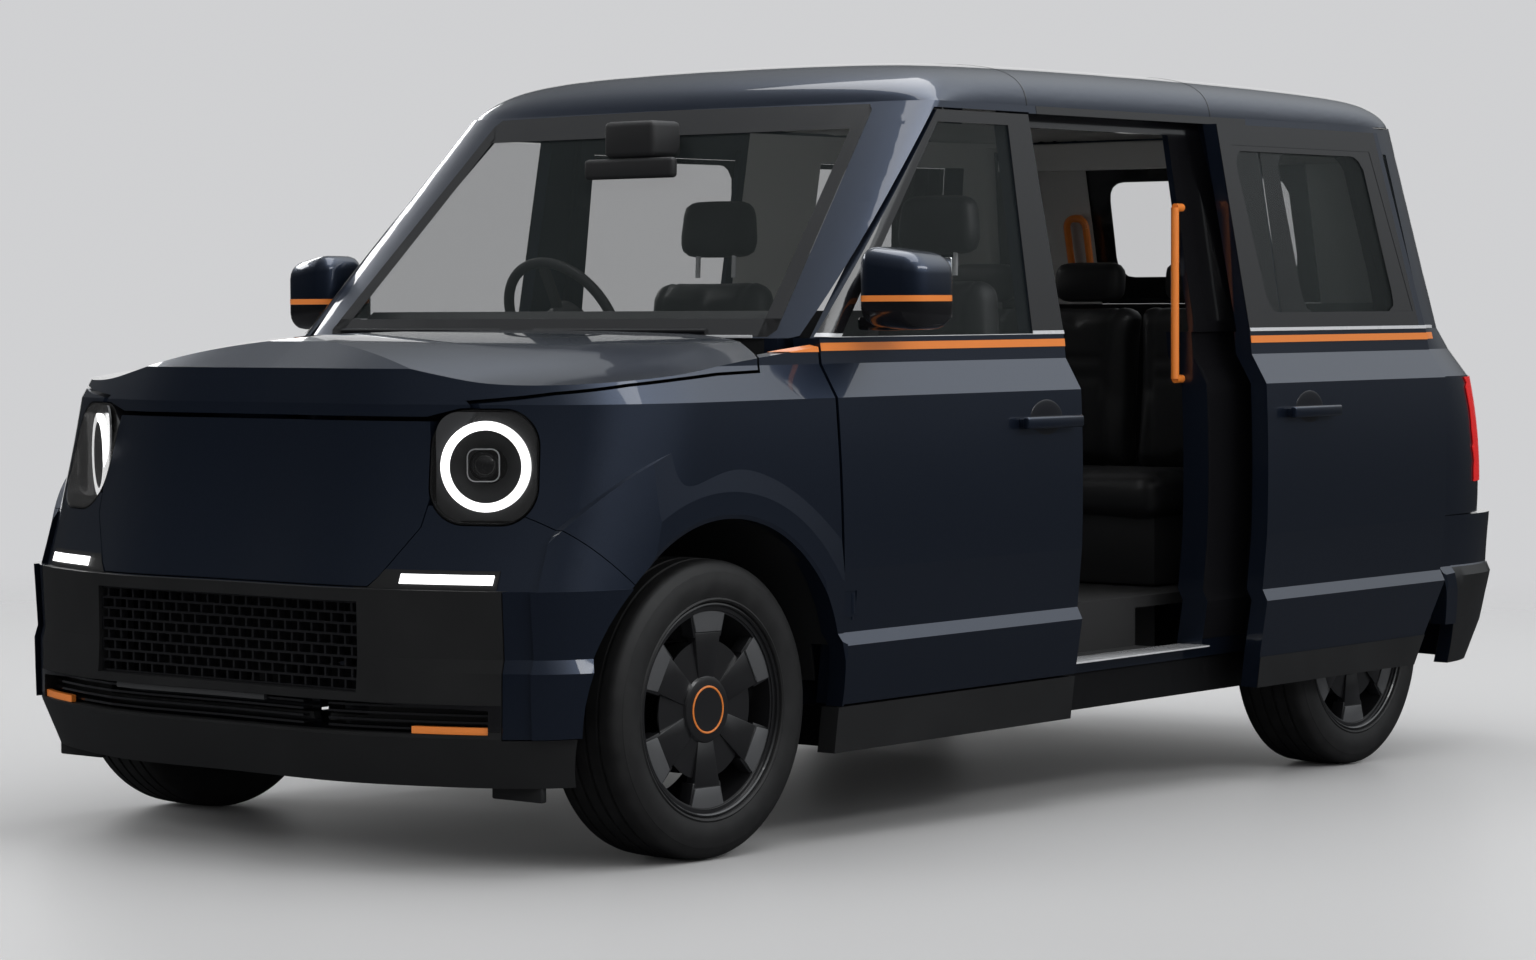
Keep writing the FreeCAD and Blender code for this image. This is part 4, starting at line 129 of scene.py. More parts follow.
def make_floor():
    """A floor that is dark in mirrors and fades into the backdrop with distance."""
    bpy.ops.mesh.primitive_plane_add(size=FLOOR_SIZE, location=(0, 0, 0))
    floor = bpy.context.object
    floor.name = "studio_floor"
    material = bpy.data.materials.new("studio floor")
    material.use_nodes = True
    tree = material.node_tree
    shader = tree.nodes["Principled BSDF"]
    shader.inputs["Base Color"].default_value = FLOOR_GREY
    shader.inputs["Roughness"].default_value = FLOOR_ROUGHNESS
    shader.inputs["Specular IOR Level"].default_value = FLOOR_SPECULAR
    dark = tree.nodes.new("ShaderNodeBsdfDiffuse")
    dark.inputs["Color"].default_value = FLOOR_IN_MIRRORS
    path = tree.nodes.new("ShaderNodeLightPath")
    mirrored = mixed(tree, path.outputs["Is Glossy Ray"], shader.outputs[0], dark.outputs[0])
    place = tree.nodes.new("ShaderNodeTexCoord")
    reach = tree.nodes.new("ShaderNodeVectorMath")
    reach.operation = "LENGTH"
    tree.links.new(place.outputs["Object"], reach.inputs[0])
    fade = ramped(tree, reach.outputs["Value"], FADE_FROM, FADE_TO, smooth_ends=True)
    clear = tree.nodes.new("ShaderNodeBsdfTransparent")
    faded = mixed(tree, fade, mirrored, clear.outputs[0])
    tree.links.new(faded, tree.nodes["Material Output"].inputs["Surface"])
    floor.data.materials.append(material)
    print("floor of", FLOOR_SIZE, "m, clear from", FADE_TO, "m out")


make_floor()

# %% [markdown]
# The world answers three kinds of ray in three ways. The camera sees a plain pale grey. Mirrors see a
# tent of lights: dark at the horizon, bright overhead, and dimmer ahead of the nose and to the right.
# Everything else is lit by plain white, a little under full strength, so that the colours render about as
# they are written.

# %% World
BACKDROP_GREY = (0.63, 0.633, 0.645, 1)
MIRRORED_TINT = (0.93, 0.97, 1, 1)
MIRRORED_LOW, MIRRORED_HIGH = 0.035, 1.5
HORIZON, OVERHEAD = -0.05, 0.85
NOSE_WAY, NOSE_SHARE = (-0.6, 0.3), (0.15, 1)
RIGHT_WAY, RIGHT_SHARE = (-0.7, 0.4), (0.2, 1.15)
WORLD_LIGHT = 0.80


def times(tree, first, second):
    """Two values multiplied."""
    product = tree.nodes.new("ShaderNodeMath")
    product.operation = "MULTIPLY"
    tree.links.new(first, product.inputs[0])
    tree.links.new(second, product.inputs[1])
    return product.outputs["Value"]


def background(tree, colour, strength):
    """A light of one colour from everywhere."""
    glow = tree.nodes.new("ShaderNodeBackground")
    glow.inputs["Color"].default_value = colour
    glow.inputs["Strength"].default_value = strength
    return glow


def make_world():
    """Pale to the camera, and in mirrors dark at the horizon and bright overhead, as a tent of lights is."""
    world = bpy.data.worlds.new("studio")
    bpy.context.scene.world = world
    world.use_nodes = True
    tree = world.node_tree
    seen = tree.nodes["Background"]
    seen.inputs["Color"].default_value = BACKDROP_GREY
    seen.inputs["Strength"].default_value = 1
    way = tree.nodes.new("ShaderNodeTexCoord")
    split = tree.nodes.new("ShaderNodeSeparateXYZ")
    tree.links.new(way.outputs["Generated"], split.inputs[0])
    height = ramped(tree, split.outputs["Z"], HORIZON, OVERHEAD, MIRRORED_LOW, MIRRORED_HIGH,
                    smooth_ends=True)
    behind_nose = ramped(tree, split.outputs["Y"], *NOSE_WAY, *NOSE_SHARE)
    on_left = ramped(tree, split.outputs["X"], *RIGHT_WAY, *RIGHT_SHARE)
    strength = times(tree, height, times(tree, on_left, behind_nose))
    tent = background(tree, MIRRORED_TINT, 1)
    tree.links.new(strength, tent.inputs["Strength"])
    lit = background(tree, (1, 1, 1, 1), WORLD_LIGHT)
    path = tree.nodes.new("ShaderNodeLightPath")
    in_mirror = mixed(tree, path.outputs["Is Glossy Ray"], lit.outputs[0], tent.outputs[0])
    to_camera = mixed(tree, path.outputs["Is Camera Ray"], in_mirror, seen.outputs[0])
    tree.links.new(to_camera, tree.nodes["World Output"].inputs["Surface"])


make_world()
print("world light", WORLD_LIGHT, "and up to", MIRRORED_HIGH, "in mirrors")

# %% [markdown]
# The lamps are wide area lights, as soft boxes are. A long one overhead draws the glow on the bonnet and
# the roof, and a lower one on each side draws the shoulder. Two that mirrors don't show lift the nose and
# the tail without leaving a square in the paint. The card behind the cab does the reverse: it shows only
# in gloss and glass, where it is the bright end wall that the roof's far edge mirrors.

# %% Lamps
def soft_box(name, place, aim, width, height, power, mirrored=True):
    """A rectangular area lamp that looks at a point, seen in reflections or not."""
    lamp = bpy.data.lights.new(name, "AREA")
    lamp.shape = "RECTANGLE"
    lamp.size, lamp.size_y, lamp.energy = width, height, power
    holder = bpy.data.objects.new(name, lamp)
    bpy.context.collection.objects.link(holder)
    holder.visible_glossy = mirrored
    holder.location = place
    holder.rotation_euler = (Vector(aim) - Vector(place)).to_track_quat("-Z", "Y").to_euler()
    return holder


soft_box("overhead box", (0.6, -0.2, 5.0), (0.2, 0, 0), 2.4, 6.0, 120)
soft_box("nose box", (-3.4, -7.0, 3.6), (0, -1.5, 0.9), 4.0, 2.2, 60, False)
soft_box("left box", (7.0, 0.5, 4.6), (0.5, 0.3, 1.0), 6.0, 1.0, 110)
soft_box("right box", (-7.0, 0.5, 4.6), (-0.5, 0.0, 1.0), 6.0, 1.0, 110)
card = soft_box("back card", (-8.5, 10, 2.6), (0, 0, 1.2), 14.0, 5.6, 180)
card.visible_camera = card.visible_diffuse = False
soft_box("rear box", (0.5, 7.5, 3.8), (0, 1.5, 1.0), 4.0, 1.6, 60, False)
print("lamps:", len(bpy.data.lights))

# %% [markdown]
# ## Finishes
#
# Every finish is a Principled shader with its look worked out from the piece's own Object coordinates, so
# that it stays put when a door swings. A few small helpers cover them all: they start a material, lay a
# noise or a cell pattern on it, and let that pattern drive a bump, a level or a colour. A little drift is
# what tells the eye that a surface is real and not a swatch.

# %% Helpers for materials
TINT_STOPS = (0.3, 0.7)


def shader_of(material):
    """A material's Principled shader."""
    return material.node_tree.nodes["Principled BSDF"]


def start_material(name, colour, roughness, metallic=0.0):
    """A new Principled material."""
    material = bpy.data.materials.new(name)
    material.use_nodes = True
    shader = shader_of(material)
    shader.inputs["Base Color"].default_value = (*colour, 1)
    shader.inputs["Roughness"].default_value = roughness
    shader.inputs["Metallic"].default_value = metallic
    return material


def object_noise(material, scale, detail=3.0):
    """A noise texture on Object coordinates; its scale is in cycles for each metre."""
    tree = material.node_tree
    place = tree.nodes.new("ShaderNodeTexCoord")
    noise = tree.nodes.new("ShaderNodeTexNoise")
    noise.inputs["Scale"].default_value = scale
    noise.inputs["Detail"].default_value = detail
    tree.links.new(place.outputs["Object"], noise.inputs["Vector"])
    return noise


def object_cells(material, scale):
    """A cell texture on Object coordinates, for pebbles."""
    tree = material.node_tree
    place = tree.nodes.new("ShaderNodeTexCoord")
    cells = tree.nodes.new("ShaderNodeTexVoronoi")
    cells.inputs["Scale"].default_value = scale
    tree.links.new(place.outputs["Object"], cells.inputs["Vector"])
    return cells


def add_bump(material, height, strength, distance):
    """Feeds a height into the shader's normal."""
    tree = material.node_tree
    bump = tree.nodes.new("ShaderNodeBump")
    bump.inputs["Strength"].default_value = strength
    bump.inputs["Distance"].default_value = distance
    tree.links.new(height, bump.inputs["Height"])
    tree.links.new(bump.outputs["Normal"], shader_of(material).inputs["Normal"])


def spread(material, value, low, high, socket):
    """Lets a 0 to 1 value drive a shader socket between two levels."""
    tree = material.node_tree
    tree.links.new(ramped(tree, value, 0, 1, low, high), shader_of(material).inputs[socket])


def tint(material, value, low, high):
    """Lets a 0 to 1 value drive the base colour between two colours."""
    tree = material.node_tree
    ramp = tree.nodes.new("ShaderNodeValToRGB")
    for stop, position, colour in zip(ramp.color_ramp.elements, TINT_STOPS, (low, high)):
        stop.position = position
        stop.color = (*colour, 1)
    tree.links.new(value, ramp.inputs["Fac"])
    tree.links.new(ramp.outputs["Color"], shader_of(material).inputs["Base Color"])


# %% [markdown]
# The paint is a navy so dark that it reads as black where nothing lights it. Under the clear coat lies a
# fine metallic flake, made by a very small noise that shifts the base colour. A larger noise bends the
# flake layer a little, like the ripple that painters call orange peel.

# %% Paint
PAINT_MIDDLE = (0.017, 0.026, 0.048)
PAINT_DARK = (0.013, 0.020, 0.037)
PAINT_LIGHT = (0.024, 0.036, 0.066)


def navy_paint():
    """Flake under a clear coat."""
    material = start_material("navy gloss paint", PAINT_MIDDLE, 0.36, metallic=0.85)
    shader = shader_of(material)
    shader.inputs["Coat Weight"].default_value = 1.0
    shader.inputs["Coat Roughness"].default_value = 0.03
    shader.inputs["Coat IOR"].default_value = 1.5
    flake = object_noise(material, scale=1400, detail=1)
    tint(material, flake.outputs["Fac"], PAINT_DARK, PAINT_LIGHT)
    orange_peel = object_noise(material, scale=220, detail=1)
    add_bump(material, orange_peel.outputs["Fac"], strength=0.03, distance=0.0004)
    return material


# %% [markdown]
# Unpainted mouldings are dark grey with a leathery grain pressed into them by the tool. A cell texture
# gives the pebbles, about one for each millimetre on the bumper, and a broad noise lets the colour and
# the roughness drift.

# %% Plastics
def shaded(colour, times_as_bright):
    """A colour made brighter or darker."""
    return tuple(times_as_bright * part for part in colour)


def grained_plastic(name, colour, roughness, scale, depth):
    """Moulded plastic with a pressed grain."""
    material = start_material(name, colour, roughness)
    pebbles = object_cells(material, scale)
    add_bump(material, pebbles.outputs["Distance"], strength=0.35, distance=depth)
    worn = object_noise(material, scale=6)
    spread(material, worn.outputs["Fac"], roughness - 0.08, roughness + 0.08, "Roughness")
    tint(material, worn.outputs["Fac"], colour, shaded(colour, 1.25))
    return material


def gloss_plastic(name, colour, roughness=0.16):
    """Smooth plastic under a thin coat, a little smeared."""
    material = start_material(name, colour, roughness)
    shader = shader_of(material)
    shader.inputs["Coat Weight"].default_value = 0.6
    shader.inputs["Coat Roughness"].default_value = 0.05
    smear = object_noise(material, scale=9)
    spread(material, smear.outputs["Fac"], roughness - 0.04, roughness + 0.08, "Roughness")
    return material


# %% [markdown]
# Glass is a thin tint that lets most of the light pass straight through to the cabin. A Fresnel value
# drives its alpha from faint, seen square on, to deeper at a glancing angle, where more of what the
# glass mirrors shows.

# %% Glass and lenses
def tinted_glass(name, colour, clear, thick):
    """Glass as a tint: clear is its alpha square on, thick its alpha at a glance."""
    material = start_material(name, colour, roughness=0.015)
    shader_of(material).inputs["IOR"].default_value = 1.5
    tree = material.node_tree
    edge = tree.nodes.new("ShaderNodeLayerWeight")
    edge.inputs["Blend"].default_value = 0.35
    spread(material, edge.outputs["Fresnel"], clear, thick, "Alpha")
    film = object_noise(material, scale=3)
    tint(material, film.outputs["Fac"], colour, shaded(colour, 1.3))
    return material


def glowing(name, colour, strength):
    """A lens that gives off its own light."""
    material = start_material(name, colour, roughness=0.25)
    shader_of(material).inputs["Emission Color"].default_value = (*colour, 1)
    haze = object_noise(material, scale=60)
    spread(material, haze.outputs["Fac"], 0.94 * strength, 1.06 * strength, "Emission Strength")
    return material


# %% [markdown]
# Rubber is never quite black: it is a very dark grey with a dull sheen. Metals get a small drift in
# roughness, as castings and rolled sheet do, and the seat leather a fine pebble over a broad, soft
# unevenness.

# %% Rubber, metal, cloth and leather
RUBBER_CLEAN = (0.005, 0.005, 0.0055)
RUBBER_DUSTY = (0.010, 0.010, 0.0105)


def tyre_rubber():
    """Dull rubber with a little dust."""
    material = start_material("tyre rubber", (0.006, 0.006, 0.0065), roughness=0.62)
    dust = object_noise(material, scale=25)
    tint(material, dust.outputs["Fac"], RUBBER_CLEAN, RUBBER_DUSTY)
    fine = object_noise(material, scale=900, detail=2)
    add_bump(material, fine.outputs["Fac"], strength=0.2, distance=0.0003)
    return material


def metal(name, colour, roughness, scale=40):
    """Metal whose roughness drifts."""
    material = start_material(name, colour, roughness, metallic=1.0)
    cast = object_noise(material, scale)
    spread(material, cast.outputs["Fac"], roughness - 0.06, roughness + 0.1, "Roughness")
    add_bump(material, cast.outputs["Fac"], strength=0.08, distance=0.0004)
    return material


def leather(name, colour):
    """Seat leather with its pebbles and some wear."""
    material = start_material(name, colour, roughness=0.46)
    pebbles = object_cells(material, scale=420)
    add_bump(material, pebbles.outputs["Distance"], strength=0.4, distance=0.0006)
    wear = object_noise(material, scale=7)
    tint(material, wear.outputs["Fac"], colour, shaded(colour, 1.4))
    spread(material, wear.outputs["Fac"], 0.4, 0.56, "Roughness")
    return material


def woven_trim(name, colour):
    """Felted trim such as a roof lining or a floor mat."""
    material = start_material(name, colour, roughness=0.9)
    fibre = object_noise(material, scale=1100, detail=4)
    tint(material, fibre.outputs["Fac"], shaded(colour, 0.85), colour)
    add_bump(material, fibre.outputs["Fac"], strength=0.35, distance=0.0008)
    return material

# %% [markdown]
# Each finish is now made once, with its own colour and roughness, and given a name for the rest of the
# script. The numbers are linear, not those of a colour picker on a screen, so the dark ones look smaller
# than the eye expects.

# %% The cab's finishes
PAINT = navy_paint()
LAMP_MASK = gloss_plastic("dark lamp mask", (0.035, 0.036, 0.038), 0.32)
# Painted shade: a near-black navy stands for the shade in each handle's dish and at the back of the slot
# under the grille.
PAINTED_SHADE_NAVY = gloss_plastic("navy painted shade", (0.0012, 0.0022, 0.006), 0.35)
MOULDING = grained_plastic("grained dark moulding", (0.0095, 0.0098, 0.0105), 0.5, 900, 0.0005)
BLACK = gloss_plastic("black gloss trim", (0.006, 0.006, 0.007))
GLASS = tinted_glass("tinted window glass", (0.025, 0.031, 0.031), 0.06, 0.32)
SCREEN_GLASS = tinted_glass("windscreen glass", (0.025, 0.031, 0.031), 0.04, 0.28)
CLEAR = tinted_glass("clear lamp lens", (0.05, 0.05, 0.05), 0.05, 0.6)
RED = glowing("red lamp lens", (0.55, 0.012, 0.012), 0.35)
WHITE_LIGHT = glowing("white lamp light", (1.0, 1.0, 1.0), 1.6)
RUBBER = tyre_rubber()
STEEL = metal("painted chassis steel", (0.035, 0.035, 0.037), 0.5)
SATIN = gloss_plastic("satin grey inserts", (0.070, 0.072, 0.076), 0.3)
MIRROR = metal("mirror glass", (0.75, 0.77, 0.78), 0.07)
BRIGHT = gloss_plastic("bright trim", (0.52, 0.53, 0.55), 0.25)
COVER = gloss_plastic("black wheel cover", (0.008, 0.008, 0.009), 0.3)
ORANGE = gloss_plastic("orange trim", (0.75, 0.21, 0.03), 0.35)
SEAT = leather("dark seat leather", (0.013, 0.0133, 0.0145))
LINING = woven_trim("pale roof lining", (0.52, 0.515, 0.50))
CARPET = woven_trim("dark floor covering", (0.02, 0.02, 0.021))
CABIN = grained_plastic("cabin plastic", (0.013, 0.0133, 0.0145), 0.6, 700, 0.0004)
CASE = grained_plastic("battery case", (0.03, 0.03, 0.032), 0.5, 300, 0.0004)
print("finishes:", len(bpy.data.materials))

# %% [markdown]
# The imported solids come with plain colours. Each takes its finish by name from one table, which is easier
# to check than a line for each node.

# %% Give every imported node its finish
FINISHES = {
    PAINT: ["body_side_left", "body_side_right", "front_fender_left", "front_fender_right", "front_panel",
            "bumper_corners", "bonnet", "front_door_left", "front_door_right", "sliding_door_left",
            "sliding_door_right", "tailgate", "rear_bumper", "roof_panel"],
    MOULDING: ["front_bumper", "sill_covers", "wheel_housings", "cowl", "front_carrier", "door_runners"],
    BLACK: ["mirror_left", "mirror_right", "grille_mesh", "wipers"],
    GLASS: ["door_glass_left", "door_glass_right", "side_glass", "rear_window"],
    SCREEN_GLASS: ["windscreen"],
    CLEAR: ["headlamps"],
    RED: ["tail_lamps"],
    CABIN: ["dashboard", "bulkhead", "steering_wheel"],
    ORANGE: ["grab_handles"],
    SEAT: ["front_seats", "rear_bench"],
    CARPET: ["floor_platform"],
    STEEL: ["rockers", "front_subframe", "knuckle_left", "knuckle_right", "rear_axle"],
    CASE: ["battery_pack"],
    RUBBER: ["tyre_fl", "tyre_fr", "tyre_rl", "tyre_rr"],
    COVER: ["rim_fl", "rim_fr", "rim_rl", "rim_rr"],
}

for material, names in FINISHES.items():
    for name in names:
        mesh = nodes[name].data
        mesh.materials.clear()
        mesh.materials.append(material)
finished = {name for names in FINISHES.values() for name in names}
print("nodes without a finish:", sorted(set(nodes) - finished))

# %% [markdown]
# ## Tools for making pieces
#
# Everything below is made the way it would be by hand: a primitive or a copied skin, edited in edit mode
# and then handed over. The body leans one degree nose down about the front axle's foot, so its pieces are
# drawn in the body's own frame (x to the cab's left, y behind the front axle, z up) and set down with the
# STANCE matrix.

# %% Select, edit and place
RAKE = math.radians(1)
AXLE_TO_MIDDLE = 1.51075
WHEELBASE = 2.853
STANCE = Matrix.Translation((0, -AXLE_TO_MIDDLE, 0)) @ Matrix.Rotation(RAKE, 4, "X")
LEVEL = Matrix()
SMOOTH_ANGLE = math.radians(35)


def only(piece):
    """Makes a piece the only one selected, and the active one."""
    bpy.ops.object.select_all(action="DESELECT")
    piece.select_set(True)
    bpy.context.view_layer.objects.active = piece
    return piece


def editing(piece):
    """Opens a piece in edit mode with all of it selected."""
    only(piece)
    bpy.ops.object.mode_set(mode="EDIT")
    bpy.ops.mesh.select_all(action="SELECT")


def done():
    """Leaves edit mode."""
    bpy.ops.object.mode_set(mode="OBJECT")


def apply_modifier(piece, kind, **settings):
    """Adds a modifier, sets it and applies it."""
    only(piece)
    modifier = piece.modifiers.new(kind.lower(), kind)
    for name, value in settings.items():
        setattr(modifier, name, value)
    bpy.ops.object.modifier_apply(modifier=modifier.name)


def smooth(piece, angle=SMOOTH_ANGLE):
    """Shades a piece smooth where its faces meet at less than an angle."""
    only(piece)
    bpy.ops.object.shade_smooth_by_angle(angle=angle)
    return piece


def place(piece, matrix):
    """Moves a piece's mesh, so that its object stays at the origin."""
    only(piece)
    piece.matrix_world = matrix @ piece.matrix_world
    bpy.ops.object.transform_apply(location=True, rotation=True, scale=True)
    return piece

# %% [markdown]
# A finished piece is handed over in one call: it is set down, gets its name and its finish, and is told
# which body it moves with. What is drawn on the left is turned over for the right, faces outward again.

# %% Hand over, copy and turn over
just_made = []


def hand_over(piece, name, material, body="body", matrix=STANCE):
    """Names a finished piece, sets it down, and says which body it moves with."""
    place(piece, matrix)
    piece.name = piece.data.name = name
    piece.data.materials.clear()
    piece.data.materials.append(material)
    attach(piece, body)
    just_made.append(name)
    return piece


def tell(what):
    """Prints how many pieces the cell above has handed over."""
    print(what + ":", len(just_made), "pieces")
    just_made.clear()


def copy_of(piece):
    """A copy with its own mesh."""
    twin = piece.copy()
    twin.data = piece.data.copy()
    bpy.context.collection.objects.link(twin)
    return twin


def on_side(piece, sign):
    """Leaves a piece drawn on the left where it is, or turns it over to the right, faces outward."""
    if sign < 0:
        only(piece)
        piece.scale = (-1, 1, 1)
        bpy.ops.object.transform_apply(location=False, rotation=False, scale=True)
        editing(piece)
        bpy.ops.mesh.normals_make_consistent(inside=False)
        done()
    return piece

# %% [markdown]
# Four starting forms serve most pieces. A block is a cube with bevelled edges. A plate is a flat outline
# pushed along a way. A turned piece is a section spun round an axle, as on a lathe. A tube is a line of
# points with a round section, made a mesh at once.

# %% Blocks, plates, turned pieces and tubes
MERGE_DISTANCE = 0.00002


def block(low, high, edge=0.0, segments=2):
    """A box between two corners with rounded edges."""
    bpy.ops.mesh.primitive_cube_add(size=1, location=[(a + b) / 2 for a, b in zip(low, high)])
    piece = bpy.context.object
    piece.scale = [b - a for a, b in zip(low, high)]
    place(piece, LEVEL)
    if edge:
        apply_modifier(piece, "BEVEL", width=edge, segments=segments)
        smooth(piece)
    return piece


def plate(points, way, edge=0.0):
    """A flat outline pushed along a way into a solid plate."""
    bpy.ops.mesh.primitive_circle_add(vertices=len(points), fill_type="NGON")
    piece = bpy.context.object
    for vertex, point in zip(piece.data.vertices, points):
        vertex.co = point
    editing(piece)
    bpy.ops.mesh.extrude_region_move(TRANSFORM_OT_translate={"value": way})
    bpy.ops.mesh.select_all(action="SELECT")
    bpy.ops.mesh.normals_make_consistent(inside=False)
    done()
    if edge:
        apply_modifier(piece, "BEVEL", width=edge, segments=2)
        smooth(piece)
    return piece


def turned(profile, steps):
    """A ring or a disc turned about X from a profile of (along, radius)."""
    bpy.ops.mesh.primitive_circle_add(vertices=len(profile), fill_type="NOTHING")
    piece = bpy.context.object
    for vertex, (along, radius) in zip(piece.data.vertices, profile):
        vertex.co = (along, 0, radius)
    editing(piece)
    bpy.ops.mesh.spin(steps=steps, angle=math.tau, center=(0, 0, 0), axis=(1, 0, 0))
    bpy.ops.mesh.select_all(action="SELECT")
    bpy.ops.mesh.remove_doubles(threshold=MERGE_DISTANCE)
    bpy.ops.mesh.normals_make_consistent(inside=False)
    done()
    return smooth(piece)


def tube(points, radius, turns=8):
    """A round bar along a list of points."""
    curve = bpy.data.curves.new("tube", "CURVE")
    curve.dimensions = "3D"
    curve.bevel_depth = radius
    curve.bevel_resolution = turns // 4
    curve.use_fill_caps = True
    line = curve.splines.new("POLY")
    line.points.add(len(points) - 1)
    for point, where in zip(line.points, points):
        point.co = (*where, 1)
    piece = bpy.data.objects.new("tube", curve)
    bpy.context.collection.objects.link(piece)
    only(piece)
    bpy.ops.object.convert(target="MESH")
    return smooth(bpy.context.object)


def joined(pieces):
    """Several pieces made one mesh."""
    bpy.ops.object.select_all(action="DESELECT")
    for piece in pieces:
        piece.select_set(True)
    bpy.context.view_layer.objects.active = pieces[0]
    bpy.ops.object.join()
    return bpy.context.object


# %% [markdown]
# ## Wheels
#
# A tyre is turned from its section: bulged sidewalls with a rim protector, rounded shoulders and a tread
# with four grooves running round. Sipes are then pressed into the shoulders and the middle ribs, one
# every few steps of the turning. One tyre is made and copied to the four corners, each copy with its own
# mesh.

# %% Tyres
TRACK_HALF = 0.792
HUBS = {"fl": (TRACK_HALF, 0.0, 1), "fr": (-TRACK_HALF, 0.0, -1),
        "rl": (TRACK_HALF, WHEELBASE, 1), "rr": (-TRACK_HALF, WHEELBASE, -1)}
CORNERS = list(HUBS)
TYRE_RADIUS = 0.345
TREAD_HALF = 0.090
TREAD_DEPTH = 0.006
TREAD_CROWN = 0.35
BEAD_HALF = 0.088
GROOVES = (0.057, 0.019)
GROOVE_SIDES = ((0.0045, 0), (0.0035, 1), (-0.0035, 1), (-0.0045, 0))
SHOULDER = (0.064, 0.093, 0.335)
MIDDLE_RIB = (0.024, 0.052, 0.341)
TURN_STEPS = 216
SIPE_ANGLE = math.radians(28)


def tyre_profile():
    """Half a section from the bead round to the middle of the tread, then mirrored."""
    side = [(BEAD_HALF, 0.229), (BEAD_HALF + 0.004, 0.240), (BEAD_HALF + 0.008, 0.2455),
            (0.1035, 0.2475), (0.1065, 0.252), (0.1045, 0.256), (0.108, 0.268), (0.1100, 0.284),
            (0.1088, 0.300), (0.1052, 0.315), (0.1046, 0.3155), (0.1010, 0.3245), (0.0965, 0.3335),
            (TREAD_HALF, 0.3395), (0.080, 0.3422)]
    tread = []
    for middle in GROOVES:
        for offset, down in GROOVE_SIDES:
            crown = TYRE_RADIUS - TREAD_CROWN * (middle + offset) ** 2
            tread.append((middle + offset, crown - down * TREAD_DEPTH))
    half = side + tread
    return half + [(-along, radius) for along, radius in reversed(half)]


def on_band(polygon, inner, outer, lowest):
    """Whether a face lies on a band of the tread, on either side of its middle."""
    x, y, z = polygon.center
    return inner < abs(x) < outer and math.hypot(y, z) > lowest


def make_tyre():
    """The turned tyre, with a sipe on every fourth step of a shoulder and every sixth of a middle rib."""
    tyre = turned(tyre_profile(), TURN_STEPS)
    for polygon in tyre.data.polygons:
        _, y, z = polygon.center
        count = int(math.atan2(y, z) % math.tau / (math.tau / TURN_STEPS))
        on_shoulder = count % 4 == 0 and on_band(polygon, *SHOULDER)
        polygon.select = on_shoulder or (count % 6 == 3 and on_band(polygon, *MIDDLE_RIB))
    only(tyre)
    bpy.ops.object.mode_set(mode="EDIT")
    bpy.ops.mesh.select_mode(type="FACE")
    bpy.ops.mesh.extrude_region_shrink_fatten(TRANSFORM_OT_shrink_fatten={"value": -0.8 * TREAD_DEPTH})
    bpy.ops.mesh.select_mode(type="VERT")
    done()
    return smooth(tyre, SIPE_ANGLE)


def wheel_place(corner):
    """Where a wheel drawn about the origin goes; the right hand ones are turned round."""
    x, behind, side = HUBS[corner]
    turn = Matrix.Rotation(0 if side > 0 else math.pi, 4, "Z")
    return Matrix.Translation((x, behind - AXLE_TO_MIDDLE, TYRE_RADIUS)) @ turn


def at_corners(piece):
    """The piece for the first corner and copies of it for the others."""
    return {corner: piece if corner == CORNERS[0] else copy_of(piece) for corner in CORNERS}


for corner, tyre in at_corners(make_tyre()).items():
    hand_over(tyre, "tyre_tread_" + corner, RUBBER, "wheel_" + corner, wheel_place(corner))
    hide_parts("tyre_" + corner)
tell("tyres")

# %% [markdown]
# Over each steel rim snaps a black cover: six satin inserts at the rim, six flat paddles between the hub
# and the inserts, and openings between them. One paddle and one insert are drawn at twelve o'clock and
# repeated round the axle. They are separate blocks and not cuts in a disc, because a bevelled block
# catches light along its edges.

# %% Rims and their covers
FLANGE_RADIUS = 0.244
COVER_FACE = 0.086
INSERT_OUTER = 0.238
INSERT_INNER = 0.176
PADDLE_INNER = 0.070
PADDLE_INNER_FACE = 0.081
CAP_FOOT = 0.0868
SPOKES = 6


def round_about(piece, count):
    """The piece repeated round the axle and joined."""
    ring = [piece]
    for index in range(1, count):
        twin = copy_of(piece)
        place(twin, Matrix.Rotation(index * math.tau / count, 4, "X"))
        ring.append(twin)
    return joined(ring)


def trapezoid(inner, outer, inner_half, outer_half, low, high, edge, inner_low=None):
    """A tapered block standing on the cover at twelve o'clock, its inner end sunk if asked."""
    piece = plate([(low, -inner_half, inner), (low, inner_half, inner), (low, outer_half, outer),
                   (low, -outer_half, outer)], (high - low, 0, 0))
    if inner_low is not None:
        for vertex in piece.data.vertices:
            if vertex.co.z < inner + 0.001 and vertex.co.x > low + 0.001:
                vertex.co.x = inner_low
    apply_modifier(piece, "BEVEL", width=edge, segments=2)
    return smooth(piece)


def make_rim():
    """Barrel, flange and the web behind the openings."""
    return turned([(-0.098, 0.2275), (0.092, 0.2275), (0.0925, FLANGE_RADIUS), (0.099, FLANGE_RADIUS),
                   (0.1000, 0.2405), (0.0975, 0.2375), (0.0910, 0.2365), (0.0880, 0.2225),
                   (-0.0980, 0.2130)], 96)


